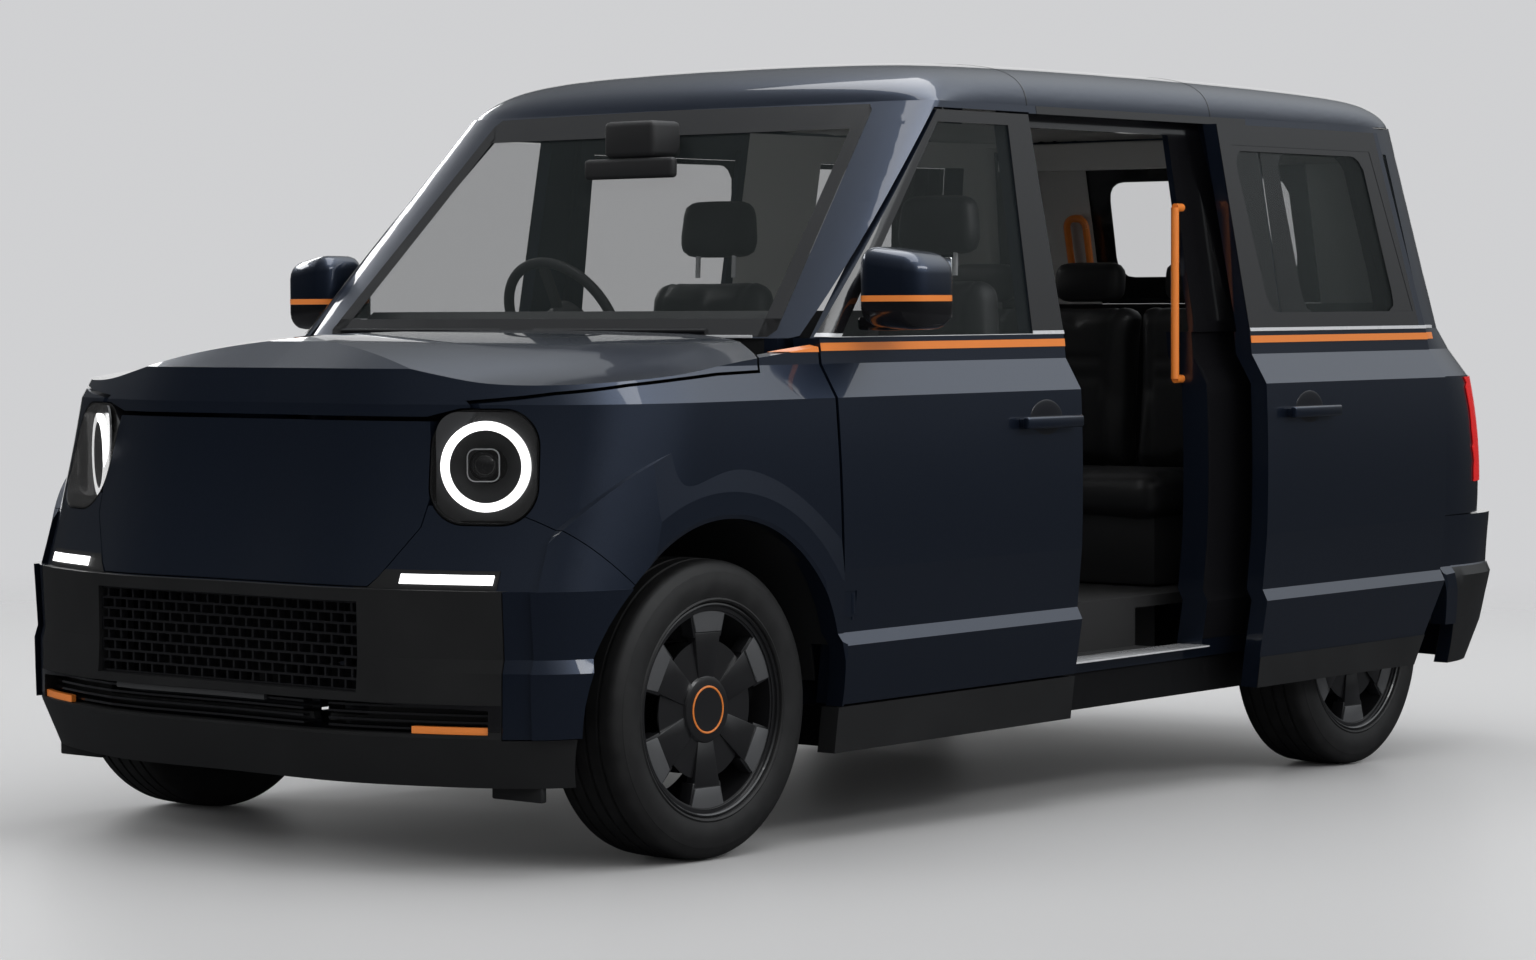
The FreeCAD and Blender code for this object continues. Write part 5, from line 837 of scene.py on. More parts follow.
def make_cover():
    """The black part of the cover: hub disc, paddles, the walls of the openings and the outer hoop."""
    disc = turned([(0.070, 0.0), (0.070, 0.158), (0.076, 0.160), (0.0765, 0.152), (0.0790, 0.078),
                   (0.0850, 0.074), (0.0870, 0.066), (0.0870, 0.0)], 72)
    hoop = turned([(0.070, 0.2365), (0.070, 0.2225), (0.086, 0.2245), (0.0905, 0.2365)], 96)
    paddle = trapezoid(PADDLE_INNER, INSERT_INNER, 0.026, 0.045, 0.060, COVER_FACE, 0.0022, PADDLE_INNER_FACE)
    paddles = round_about(paddle, SPOKES)
    wall = trapezoid(INSERT_INNER - 0.01, INSERT_OUTER - 0.004, 0.048, 0.065, 0.050, 0.0845, 0.0015)
    walls = round_about(wall, SPOKES)
    return joined([disc, hoop, paddles, walls])


def make_inserts():
    """Six satin inserts."""
    insert = trapezoid(INSERT_INNER + 0.002, INSERT_OUTER, 0.0435, 0.0625, 0.0840, 0.0885, 0.0012)
    return round_about(insert, SPOKES)


def make_cap_ring():
    """The thin raised ring round the cap."""
    return turned([(CAP_FOOT, 0.0500), (0.0885, 0.0505), (0.0892, 0.0525), (0.0885, 0.0545),
                   (CAP_FOOT, 0.0550)], 72)


def make_cap():
    """The dished cap at the hub."""
    return turned([(CAP_FOOT, 0.0), (CAP_FOOT, 0.049), (0.0880, 0.0485), (0.0878, 0.040), (0.0874, 0.0)], 72)


for maker, name, material in ((make_rim, "rim_barrel_", COVER), (make_cover, "rim_cover_", COVER),
                              (make_inserts, "rim_inserts_", SATIN),
                              (make_cap_ring, "rim_cap_ring_", ORANGE), (make_cap, "rim_cap_", COVER)):
    for corner, piece in at_corners(maker()).items():
        hand_over(piece, name + corner, material, "wheel_" + corner, wheel_place(corner))
tell("rims and covers")

# %% [markdown]
# Through the openings one sees the brake disc and its hub. They are turned as one piece, and stand for
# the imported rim, whose plain disc would close the openings.

# %% Brake discs
DISC_HALF = 0.012
DISC_RADIUS = 0.150


def make_brake_disc():
    """A flat disc with its hub."""
    return turned([(-DISC_HALF, DISC_RADIUS), (DISC_HALF, DISC_RADIUS), (DISC_HALF, 0.060),
                   (0.050, 0.055), (0.050, 0.0), (-DISC_HALF, 0.0)], 64)


for corner, disc in at_corners(make_brake_disc()).items():
    hand_over(disc, "brake_disc_" + corner, STEEL, "wheel_" + corner, wheel_place(corner))
    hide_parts("rim_" + corner)
tell("brake discs")

# %% [markdown]
# ## Skins lifted off the body
#
# Stripes, window surrounds and linings follow the panels exactly when they are cut from a copy of them. A
# skin is bisected down to its outline, faces that look the wrong way are deleted, and what is left is
# moved out or in by a few millimetres at most and given a thickness. A mask in the paint would be
# simpler, but a real edge catches the light.

# %% Helpers for skins
SIDES = (("left", 1), ("right", -1))


def peel(node, keeps, facing, lift=0.0008, thick=0.0008, closeness=0.3):
    """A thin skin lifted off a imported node.

    keeps is a list of (point, outward way) planes in the body's frame, whose far sides are cut away;
    facing is the way in which the wanted faces look.
    """
    piece = bpy.data.objects.new("skin", nodes[node].data.copy())
    bpy.context.collection.objects.link(piece)
    piece.data.materials.clear()
    editing(piece)
    bpy.ops.mesh.customdata_custom_splitnormals_clear()
    bpy.ops.mesh.remove_doubles(threshold=MERGE_DISTANCE)
    turn = STANCE.to_3x3()
    for point, way in keeps:
        bpy.ops.mesh.select_all(action="SELECT")
        bpy.ops.mesh.bisect(plane_co=STANCE @ Vector(point), plane_no=turn @ Vector(way), clear_outer=True)
    bpy.ops.mesh.select_all(action="DESELECT")
    bpy.ops.mesh.select_mode(type="FACE")
    done()
    look = (turn @ Vector(facing)).normalized()
    for polygon in piece.data.polygons:
        polygon.select = polygon.normal.dot(look) < closeness
    bpy.ops.object.mode_set(mode="EDIT")
    bpy.ops.mesh.delete(type="FACE")
    bpy.ops.mesh.select_mode(type="VERT")
    bpy.ops.mesh.select_all(action="SELECT")
    bpy.ops.transform.shrink_fatten(value=lift + thick)
    done()
    apply_modifier(piece, "SOLIDIFY", thickness=thick, offset=-1)
    return smooth(piece)


def skin(name, node, keeps, facing, material, body="body", **more):
    """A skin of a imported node, handed over where it lies."""
    return hand_over(peel(node, keeps, facing, **more), name, material, body, LEVEL)


def above(height):
    """The plane that keeps what lies above a height."""
    return [((0, 0, height), (0, 0, -1))]


def below(height):
    """The plane that keeps what lies below a height."""
    return [((0, 0, height), (0, 0, 1))]


def between(low, high):
    """Two planes that keep what lies between two heights."""
    return above(low) + below(high)


def aft_of(start):
    """The plane that keeps what lies further back than a place."""
    return [((0, start, 0), (0, -1, 0))]


def behind(start, end):
    """Two planes that keep what lies between two places along the body."""
    return aft_of(start) + [((0, end, 0), (0, 1, 0))]


# %% [markdown]
# An orange stripe runs along the shoulder, with a bright strip over it at the foot of the windows, and
# the pillars between the windows are black, so that the glass reads as one band. Each door, slider and
# quarter has its own length of them, so a front door takes its stripe along when it swings, and the
# left slider's hangs where the open slider stands.

# %% Stripe, belt strip and window surrounds
BELT_STRIP = (1.187, 1.196)
STRIPE = (1.156, 1.175)
STRIPE_LIFT, STRIP_LIFT = 0.0015, 0.0025
SURROUND_FOOT = 1.197
SLIDER_SHIFT = {"left": 0.776, "right": 0.0}
SLIDER_STRIP_START, SLIDER_STRIP_END = 1.0, 2.388
SLIDER_PILLAR_FOOT, SLIDER_PILLAR_LEAN = (2.326, 1.19), 0.195
SLIDER_FOOT = 0.309
QUARTER_START = 2.40
QUARTER_STRIPE_END, QUARTER_STRIP_END = 3.29, 3.30
FENDER_TAPER = ((0, -0.06, 1.150), (0, -0.075, 1))

for side, sign in SIDES:
    out = (sign, 0, 0)
    shift = SLIDER_SHIFT[side]
    door, slider, quarter = "front_door_" + side, "sliding_door_" + side, "body_side_" + side
    skin("door_stripe_" + side, door, between(*STRIPE), out, ORANGE, door, lift=STRIPE_LIFT)
    skin("door_belt_strip_" + side, door, between(*BELT_STRIP), out, BRIGHT, door, lift=STRIP_LIFT)
    skin("door_surround_" + side, door, above(SURROUND_FOOT), out, BLACK, door)
    skin("slider_stripe_" + side, slider, between(*STRIPE), out, ORANGE, lift=STRIPE_LIFT)
    strip = between(*BELT_STRIP) + behind(SLIDER_STRIP_START, SLIDER_STRIP_END + shift)
    skin("slider_belt_strip_" + side, slider, strip, out, BRIGHT, lift=STRIP_LIFT)
    foot_y, foot_z = SLIDER_PILLAR_FOOT
    pillar = above(SURROUND_FOOT) + [((0, foot_y + shift, foot_z), (0, 1, SLIDER_PILLAR_LEAN))]
    skin("slider_surround_" + side, slider, pillar, out, BLACK)
    skin("slider_foot_" + side, slider, below(SLIDER_FOOT), out, MOULDING, lift=0.002)
    stripe = between(*STRIPE) + behind(QUARTER_START, QUARTER_STRIPE_END)
    skin("quarter_stripe_" + side, quarter, stripe, out, ORANGE, lift=STRIPE_LIFT)
    strip = between(*BELT_STRIP) + behind(QUARTER_START, QUARTER_STRIP_END)
    skin("quarter_belt_strip_" + side, quarter, strip, out, BRIGHT, lift=STRIP_LIFT)
    point = above(STRIPE[0] - 0.002) + [FENDER_TAPER]
    skin("fender_stripe_" + side, "front_fender_" + side, point, (sign, 0, 0.3), ORANGE, lift=STRIPE_LIFT)
tell("stripes, strips and surrounds")

# %% [markdown]
# A windscreen is glued in, and a black border printed on the glass hides the glue. A print has no
# thickness to speak of, so these skins are lifted and thickened by tenths of a millimetre: enough to be
# seen in front of the pane.

# %% Windscreen border
PRINT = {"lift": 0.0003, "thick": 0.0004}
SCREEN_OUT = (0, -0.7, 0.7)
SCREEN_TOP, SCREEN_FOOT = 1.700, 1.232
SCREEN_SIDE, SCREEN_SIDE_LEAN = (0.703, 1.19), 0.186

skin("screen_border_top", "windscreen", above(SCREEN_TOP), SCREEN_OUT, BLACK, **PRINT)
skin("screen_border_foot", "windscreen", below(SCREEN_FOOT), SCREEN_OUT, BLACK, **PRINT)
for side, sign in SIDES:
    side_plane = ((sign * SCREEN_SIDE[0], 0, SCREEN_SIDE[1]), (-sign, 0, -SCREEN_SIDE_LEAN))
    skin("screen_border_" + side, "windscreen", [side_plane], SCREEN_OUT, BLACK, **PRINT)
tell("windscreen border")

# %% [markdown]
# A bonded window has a dark border with rounded inner corners. The clear middle is given as an outline;
# what lies outside it is lifted off the pane strip by strip, one strip for each edge of the outline, so
# that no two overlap. The left quarter window has none, because the open sliding door stands in front of
# it.

# %% Borders of the bonded windows
SLIDER_CLEAR = [(1.534, 1.235), (2.209, 1.235), (2.129, 1.675), (1.459, 1.675)]
SLIDER_PANE = (1.40, 2.37)
QUARTER_CLEAR = [(2.500, 1.235), (3.130, 1.235), (3.030, 1.675), (2.460, 1.675)]
QUARTER_PANE = (2.38, 3.40)
REAR_CLEAR = [(-0.330, 1.345), (0.330, 1.345), (0.325, 1.640), (-0.325, 1.640)]
REAR_FRAME_START = 0.40
CLEAR_CORNER = 0.060
CORNER_STEPS = 4


def rounded_outline(corners):
    """An outline with each corner cut by a soft curve."""
    points = []
    for index, corner in enumerate(corners):
        middle = Vector(corner)
        start = middle + CLEAR_CORNER * (Vector(corners[index - 1]) - middle).normalized()
        end = middle + CLEAR_CORNER * (Vector(corners[(index + 1) % len(corners)]) - middle).normalized()
        for step in range(CORNER_STEPS + 1):
            share = step / CORNER_STEPS
            points.append(start * (1 - share) ** 2 + middle * 2 * share * (1 - share) + end * share ** 2)
    return points


def border(name, node, outline, limits, facing, body, in_space):
    """Everything on a pane outside an outline; in_space says where a point of the outline is in space."""
    middle = sum(outline, Vector((0, 0))) / len(outline)
    strips, earlier = [], []
    for point, following in zip(outline, outline[1:] + outline[:1]):
        along = following - point
        inward = Vector((-along.y, along.x))
        if inward.dot(middle - point) < 0:
            inward = -inward
        edge_plane = (in_space(point), in_space(inward))
        strips.append(peel(node, limits + earlier + [edge_plane], facing, **PRINT))
        earlier.append((edge_plane[0], tuple(-part for part in edge_plane[1])))
    return hand_over(joined(strips), name, BLACK, body, LEVEL)


for side, sign in SIDES:
    panes = [("slider_border_", SLIDER_CLEAR, SLIDER_PANE, SLIDER_SHIFT[side])]
    if side == "right":
        panes.append(("quarter_border_", QUARTER_CLEAR, QUARTER_PANE, 0))
    for name, corners, (start, end), moved in panes:
        outline = rounded_outline([(y + moved, z) for y, z in corners])
        border(name + side, "side_glass", outline, behind(start + moved, end + moved), (sign, 0, 0), "body",
               lambda at: (0, at.x, at.y))
border("rear_border", "rear_window", rounded_outline(REAR_CLEAR), [], (0, 1, 0.3), "tailgate",
       lambda at: (at.x, 0, at.y))
for side, sign in SIDES:
    outer_part = [((sign * REAR_FRAME_START, 0, 0), (-sign, 0, 0))]
    skin("rear_frame_" + side, "rear_window", outer_part, (0, -1, -0.3), LINING, "tailgate",
         lift=0.001, thick=0.002)
tell("window borders")

# %% [markdown]
# The roof is in three panels, so two fine joints cross it. The open doorway has a black frame, the rear
# bumper a grained foot, and the tail lamps wrap round the body's corners. All four follow an imported
# surface, and so are skins.

# %% Roof cuts, doorway frame, rear bumper's foot and tail lamp ends
ROOF_CUTS = (1.387, 2.245)
CUT_HALF = 0.0015
DOORWAY, DOORWAY_FOOT = (1.425, 2.420), 0.36
BUMPER_FOOT_TOP = 0.487
TAIL_LAMP, TAIL_LAMP_START = (0.735, 1.043), 3.40
TAIL_LAMP_WAY = (0.777, 0.63)

for index, cut in enumerate(ROOF_CUTS):
    skin(f"roof_cut_{index + 1}", "roof_panel", behind(cut - CUT_HALF, cut + CUT_HALF), (0, 0, 1), BLACK,
         closeness=0.05, **PRINT)
doorway = behind(*DOORWAY) + above(DOORWAY_FOOT)
skin("doorway_frame_left", "body_side_left", doorway, (1, 0, 0), BLACK, **PRINT)
skin("rear_bumper_foot", "rear_bumper", below(BUMPER_FOOT_TOP), (0, 1, 0), MOULDING,
     lift=0.0006, closeness=-0.3)
for side, sign in SIDES:
    lamp_end = between(*TAIL_LAMP) + aft_of(TAIL_LAMP_START)
    facing = (sign * TAIL_LAMP_WAY[0], TAIL_LAMP_WAY[1], 0)
    skin("tail_lamp_end_" + side, "body_side_" + side, lamp_end, facing, RED,
         lift=0.002, thick=0.002, closeness=0.90)
tell("roof cuts, frame, foot and lamp ends")

# %% [markdown]
# Low in the nose, at the outer ends of the dark bumper, sits a slim day lamp in a grained recess, and the
# slot under the grille has a gloss black end on each side. The recess is lifted a little, and the lamp
# further, so that the lamp stands in front of it.

# %% Day lamps and slot ends
RECESS, RECESS_ACROSS = (0.640, 0.684), (0.40, 0.736)
DAY_LAMP, DAY_LAMP_ACROSS = (0.653, 0.674), (0.515, 0.727)
SLOT_END, SLOT_END_ACROSS = (0.335, 0.392), (0.44, 0.80)


def beside(sign, low, high):
    """Two planes that keep what lies between two distances from the middle, on one side."""
    return [((sign * low, 0, 0), (-sign, 0, 0)), ((sign * high, 0, 0), (sign, 0, 0))]


for side, sign in SIDES:
    corner_way, slot_way = (sign * 0.35, -1, 0), (sign * 0.3, -1, 0)
    recess = between(*RECESS) + beside(sign, *RECESS_ACROSS)
    skin("day_lamp_recess_" + side, "bumper_corners", recess, corner_way, MOULDING, lift=0.001)
    lamp = between(*DAY_LAMP) + beside(sign, *DAY_LAMP_ACROSS)
    skin("day_lamp_" + side, "bumper_corners", lamp, corner_way, WHITE_LIGHT, lift=0.004, thick=0.002)
    slot_end = between(*SLOT_END) + beside(sign, *SLOT_END_ACROSS)
    skin("slot_end_" + side, "front_bumper", slot_end, slot_way, BLACK)
tell("day lamps and slot ends")

# %% [markdown]
# Inside, the roof and the upper quarters are lined with a pale felt, and the walls below the windows and
# the tailgate with dark plastic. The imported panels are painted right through, so each lining is a skin of
# their inner faces, lifted into the cabin.

# %% Linings of the cabin
LINING_LIFT = 0.002
LINING_START = 0.5
QUARTER_LINING_START = 2.12
WINDOW_FOOT = 1.20

skin("roof_lining", "roof_panel", aft_of(LINING_START), (0, 0, -1), LINING, lift=LINING_LIFT)
for side, sign in SIDES:
    panel, inward = "body_side_" + side, (-sign, 0, 0)
    upper = above(WINDOW_FOOT) + aft_of(QUARTER_LINING_START)
    lower = below(WINDOW_FOOT) + aft_of(QUARTER_LINING_START)
    skin("quarter_lining_" + side, panel, upper, inward, LINING, lift=LINING_LIFT)
    skin("quarter_trim_" + side, panel, lower, inward, CABIN, lift=LINING_LIFT)
skin("tailgate_lining", "tailgate", [], (0, -1, 0), CABIN, "tailgate", lift=LINING_LIFT)
tell("linings")

# %% [markdown]
# ## Lamps
#
# A headlamp is a dark bowl with a bright ring near its mouth and a projector deep inside, behind a clear
# lens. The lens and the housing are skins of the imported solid, so they fit the panels round them. What
# lies between them is turned about the lamp's own axis, as a lamp's parts are, and then set in place.

# %% Headlamps
LAMP_MIDDLE = (0.660, -0.500, 0.910)
LAMP_TURN = math.radians(33)
RING_DEPTH = 0.020
RING_THICK = 0.012
RING_OUTER = 0.101
RING_INNER = 0.081
MASK_ACROSS, MASK_UP, MASK_CORNER = 0.113, 0.121, 0.050
MASK_DEPTH, MASK_THICK = -RING_DEPTH - 0.013, 0.005
MASK_HOLE, MASK_OUTER = 0.078, 0.130
PROJECTOR_HALF, PROJECTOR_CORNER = 0.036, 0.018
PROJECTOR_INWARD, PROJECTOR_UP = 0.010, 0.002


def lamp_axis(sign):
    """The way a headlamp looks, in the body's frame."""
    return Vector((sign * math.sin(LAMP_TURN), -math.cos(LAMP_TURN), 0))


def lamp_place(sign):
    """The lamp's own frame: x along its axis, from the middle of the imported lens."""
    axis = STANCE.to_3x3() @ lamp_axis(sign)
    x, behind_axle, z = LAMP_MIDDLE
    middle = STANCE @ Vector((sign * x, behind_axle, z))
    hit, front, _, _ = nodes["headlamps"].ray_cast(middle + 0.4 * axis, -axis)
    turn = Matrix.Rotation(-math.pi / 2 + sign * LAMP_TURN, 4, "Z")
    return Matrix.Translation(front if hit else middle) @ Matrix.Rotation(RAKE, 4, "X") @ turn


def rounded_square(across, up, corner, steps):
    """Points round an upright rounded square about its middle, as across and up."""
    points = []
    for quarter, (way_across, way_up) in enumerate(((1, 1), (-1, 1), (-1, -1), (1, -1))):
        for step in range(steps):
            turn = math.pi / 2 * (quarter + step / (steps - 1))
            points.append((way_across * (across - corner) + corner * math.cos(turn),
                           way_up * (up - corner) + corner * math.sin(turn)))
    return points


def make_mask():
    """The dark frame behind the ring: a turned ring whose outer edge is moved onto a rounded square."""
    edge = rounded_square(MASK_ACROSS, MASK_UP, MASK_CORNER, 12)
    back = MASK_DEPTH - MASK_THICK
    piece = turned([(MASK_DEPTH, MASK_OUTER), (MASK_DEPTH, MASK_HOLE), (back, MASK_HOLE),
                    (back, MASK_OUTER)], 96)
    for vertex in piece.data.vertices:
        if math.hypot(vertex.co.y, vertex.co.z) > (MASK_HOLE + MASK_OUTER) / 2:
            turn = math.atan2(vertex.co.z, vertex.co.y)
            vertex.co.y, vertex.co.z = min(
                edge, key=lambda at: abs(math.remainder(math.atan2(at[1], at[0]) - turn, math.tau)))
    return piece


def make_ring():
    """The ring of light, a flat band."""
    back = -RING_DEPTH - RING_THICK
    return turned([(-RING_DEPTH, RING_OUTER), (-RING_DEPTH, RING_INNER), (back, RING_INNER),
                   (back, RING_OUTER)], 96)


def make_bowl():
    """The conical reflector between the ring and the projector."""
    return turned([(-RING_DEPTH - 0.002, RING_INNER), (-0.075, 0.040), (-0.078, 0.040),
                   (-RING_DEPTH - 0.006, RING_INNER + 0.002)], 64)


def make_projector():
    """A glass bulge in a turned sleeve."""
    return turned([(-0.095, 0.0), (-0.095, 0.034), (-0.060, 0.034), (-0.057, 0.031), (-0.052, 0.026),
                   (-0.046, 0.017), (-0.043, 0.008), (-0.0425, 0.0)], 48)


def make_projector_frame():
    """The thin bright outline round the projector, a rounded square."""
    square = rounded_square(PROJECTOR_HALF, PROJECTOR_HALF, PROJECTOR_CORNER, 6)
    points = [(-0.050, across, up) for across, up in square]
    return tube(points + points[:1], 0.0016)

# %% [markdown]
# Each lamp's parts are now made and set down on its own side. Only the projector and its frame sit a
# little inward of the ring's middle, as they do on the real lamp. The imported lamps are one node, and the
# right lens stands for it.

# %% Set the headlamps in place
for side, sign in SIDES:
    set_down = lamp_place(sign)
    axis = tuple(lamp_axis(sign))
    half = [((0, 0, 0), (-sign, 0, 0))]
    lens = skin("lamp_lens_" + side, "headlamps", half, axis, CLEAR, lift=-0.0015, thick=0.0015)
    skin("lamp_housing_" + side, "headlamps", half, tuple(-part for part in axis), BLACK,
         lift=-0.003, thick=0.001, closeness=-0.45)
    hand_over(make_mask(), "lamp_mask_" + side, LAMP_MASK, "body", set_down)
    if side == "right":
        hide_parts("headlamps")
    hand_over(make_ring(), "lamp_ring_" + side, WHITE_LIGHT, "body", set_down)
    hand_over(make_bowl(), "lamp_bowl_" + side, LAMP_MASK, "body", set_down)
    inward = set_down @ Matrix.Translation((0, -PROJECTOR_INWARD * sign, PROJECTOR_UP))
    hand_over(make_projector(), "lamp_projector_" + side, BLACK, "body", inward)
    hand_over(make_projector_frame(), "lamp_projector_frame_" + side, BRIGHT, "body", inward)
tell("headlamps")

# %% [markdown]
# ## Mirrors, handles and bright trim
#
# A door mirror is one rounded form in three slices: a painted cap, an orange line and a black foot. The
# form is made again for each slice and cut by two level planes, and the cuts are filled. The line is
# then grown by a hair, so that it stands proud, as a trim strip does.

# %% Door mirrors
MIRROR_LOW = (0.890, 0.535, 1.212)
MIRROR_HIGH = (1.068, 0.700, 1.392)
MIRROR_EDGE = 0.046
CAP_SLICE, LINE_SLICE, FOOT_SLICE = (1.286, 1.42), (1.272, 1.2855), (1.19, 1.2715)
LINE_GROW = 0.0006
MIRROR_ARM = ((0.868, 0.575, 1.203), (0.965, 0.655, 1.236))
MIRROR_PANE = ((0.905, 0.716, 1.232), (1.045, 0.7235, 1.376))


def mirror_form():
    """The whole shell: its top falls and its face sweeps back towards the outer end."""
    form = block(MIRROR_LOW, MIRROR_HIGH, MIRROR_EDGE, 5)
    for vertex in form.data.vertices:
        outward = (vertex.co.x - MIRROR_LOW[0]) / (MIRROR_HIGH[0] - MIRROR_LOW[0])
        vertex.co.z += 0.016 * (1 - outward) * (1 if vertex.co.z > 1.30 else 0) - 0.010 * outward
        vertex.co.y += 0.022 * outward ** 2
    return form


def sliced(piece, low, high, grow=0.0):
    """A level slice of a closed form."""
    editing(piece)
    bpy.ops.mesh.bisect(plane_co=(0, 0, low), plane_no=(0, 0, -1), clear_outer=True, use_fill=True)
    bpy.ops.mesh.select_all(action="SELECT")
    bpy.ops.mesh.bisect(plane_co=(0, 0, high), plane_no=(0, 0, 1), clear_outer=True, use_fill=True)
    bpy.ops.mesh.select_all(action="SELECT")
    if grow:
        bpy.ops.transform.shrink_fatten(value=grow)
    done()
    return smooth(piece)


for side, sign in SIDES:
    slices = [("mirror_cap_", sliced(mirror_form(), *CAP_SLICE), PAINT),
              ("mirror_line_", sliced(mirror_form(), *LINE_SLICE, LINE_GROW), ORANGE),
              ("mirror_foot_", sliced(mirror_form(), *FOOT_SLICE), BLACK),
              ("mirror_arm_", block(*MIRROR_ARM, 0.010, 3), BLACK),
              ("mirror_glass_", block(*MIRROR_PANE, 0.003), MIRROR)]
    for name, piece, material in slices:
        hand_over(on_side(piece, sign), name + side, material, "front_door_" + side)
        if name == "mirror_cap_":
            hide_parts("mirror_" + side)
tell("door mirrors")

# %% [markdown]
# Each side door has a slim pull bar on two feet over a shallow dish, whose shade is painted as a dark
# oval in the skin. A ray cast at the imported panel tells how far out its skin is there, so the handle
# stands on the door wherever the door is.

# %% Door handles
HANDLE_Z = 0.968
FRONT_HANDLE, SLIDER_HANDLE = 1.262, 1.640
BAR_OFF, BAR_THICK, BAR_HALF_LONG, BAR_HALF_HIGH = 0.012, 0.020, 0.122, 0.015
FOOT_AT, FOOT_HALF_LONG, FOOT_HALF_HIGH = 0.098, 0.020, 0.011
POCKET_SHADE_RADII = (0.0024, 0.074, 0.056)


def side_of(node, sign, behind_axle, z):
    """How far out an imported panel's surface stands at a place on the body's side."""
    start = STANCE @ Vector((sign * 1.4, behind_axle, z))
    hit, where, _, _ = nodes[node].ray_cast(start, Vector((-sign, 0, 0)))
    return abs(where.x) if hit else 0.93


def make_handle(out, middle):
    """A slim bar on two feet, drawn on the left side."""
    bar = block((out + BAR_OFF, middle - BAR_HALF_LONG, HANDLE_Z - BAR_HALF_HIGH),
                (out + BAR_OFF + BAR_THICK, middle + BAR_HALF_LONG, HANDLE_Z + BAR_HALF_HIGH), 0.006, 3)
    feet = [block((out - 0.004, at - FOOT_HALF_LONG, HANDLE_Z - FOOT_HALF_HIGH),
                  (out + 0.016, at + FOOT_HALF_LONG, HANDLE_Z + FOOT_HALF_HIGH), 0.004)
            for at in (middle - FOOT_AT, middle + FOOT_AT)]
    return joined([bar] + feet)


def make_pocket_shade(out, middle):
    """Painted shade of the shallow dish behind a handle: a dark oval that sits in the skin."""
    bpy.ops.mesh.primitive_uv_sphere_add(segments=48, ring_count=24, radius=1,
                                         location=(out - 0.001, middle, HANDLE_Z))
    piece = bpy.context.object
    piece.scale = POCKET_SHADE_RADII
    return smooth(place(piece, LEVEL))


for side, sign in SIDES:
    for node, body, middle in (("front_door_" + side, "front_door_" + side, FRONT_HANDLE),
                               ("sliding_door_" + side, "body", SLIDER_HANDLE + SLIDER_SHIFT[side])):
        out = side_of(node, sign, middle, HANDLE_Z)
        handle = on_side(make_handle(out, middle), sign)
        hand_over(handle, "handle_" + node, PAINT, body)
        # The dish is not cut: its shade is painted as a dark oval in the skin.
        pocket_shade = on_side(make_pocket_shade(out, middle), sign)
        hand_over(pocket_shade, "handle_pocket_shade_" + node, PAINTED_SHADE_NAVY, body)
tell("door handles")

# %% [markdown]
# Small bright strips finish the doorways' steps and the foot of the windscreen. The cabin mirror hangs
# from a small console at the windscreen's head. All of them are bevelled blocks.

# %% Strips and cabin mirror
STEP_STRIP = ((0.795, 1.450, 0.3405), (0.893, 2.085, 0.3450))
SCREEN_STRIP = ((-0.700, 0.3845, 1.1865), (0.700, 0.3905, 1.1935))
CABIN_MIRROR = ((-0.150, 0.742, 1.588), (0.150, 0.768, 1.640))
MIRROR_CONSOLE = ((-0.085, 0.745, 1.642), (0.085, 0.860, 1.735))

for side, sign in SIDES:
    hand_over(on_side(block(*STEP_STRIP, 0.0015), sign), "step_strip_" + side, BRIGHT)
hand_over(block(*SCREEN_STRIP, 0.001), "screen_foot_strip", BRIGHT)
hand_over(block(*CABIN_MIRROR, 0.010, 3), "cabin_mirror", CABIN)
hand_over(block(*MIRROR_CONSOLE, 0.015, 3), "cabin_mirror_console", CABIN)
tell("strips and cabin mirror")

# %% [markdown]
# ## Seats
#
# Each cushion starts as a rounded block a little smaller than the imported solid. It is remeshed into even
# voxels and blown up as cloth under pressure, so that its faces crown and its sides pull in between the
# corners. How far a point may move is capped. Seams are pressed in afterwards, because a remesh would
# fill them.

# %% Padding by simulation
VOXEL = 0.012
PRESSURE = 4.0
FRAMES = 20
PAD_ANGLE = math.radians(60)
BACK_LEAN = math.atan2(0.040, 0.600)
HEADREST_CAP = 0.014


def puffed(piece, cap=0.020):
    """A pad blown up as cloth; no point moves further than the cap."""
    apply_modifier(piece, "REMESH", mode="VOXEL", voxel_size=VOXEL)
    start = [vertex.co.copy() for vertex in piece.data.vertices]
    cloth = piece.modifiers.new("cloth", "CLOTH")
    cloth.settings.use_pressure = True
    cloth.settings.uniform_pressure_force = PRESSURE
    cloth.settings.effector_weights.gravity = 0
    cloth.point_cache.frame_end = FRAMES
    for number in range(1, FRAMES + 1):
        bpy.context.scene.frame_set(number)
    swollen = piece.evaluated_get(bpy.context.evaluated_depsgraph_get()).data
    finish_line = [vertex.co.copy() for vertex in swollen.vertices]
    piece.modifiers.remove(cloth)
    bpy.context.scene.frame_set(1)
    for vertex, before, after in zip(piece.data.vertices, start, finish_line):
        move = after - before
        vertex.co = before + move * min(1, cap / max(move.length, 0.000001))
    return smooth(piece, PAD_ANGLE)


def seam(piece, place_of, depth=0.005, width=0.008):
    """Presses a seam into a pad wherever place_of(point) is near zero."""
    normals = [vertex.normal.copy() for vertex in piece.data.vertices]
    for vertex, normal in zip(piece.data.vertices, normals):
        distance = place_of(vertex.co)
        vertex.co -= normal * depth * math.exp(-(distance / width) ** 2)
    return piece


def lean(piece, foot_y, foot_z):
    """Tips a seat back rearward about its foot."""
    turn = (Matrix.Translation((0, foot_y, foot_z)) @ Matrix.Rotation(-BACK_LEAN, 4, "X")
            @ Matrix.Translation((0, -foot_y, -foot_z)))
    return place(piece, turn)


def seat_piece(piece, name):
    """A padded piece in seat leather."""
    hand_over(piece, name, SEAT)
    return piece


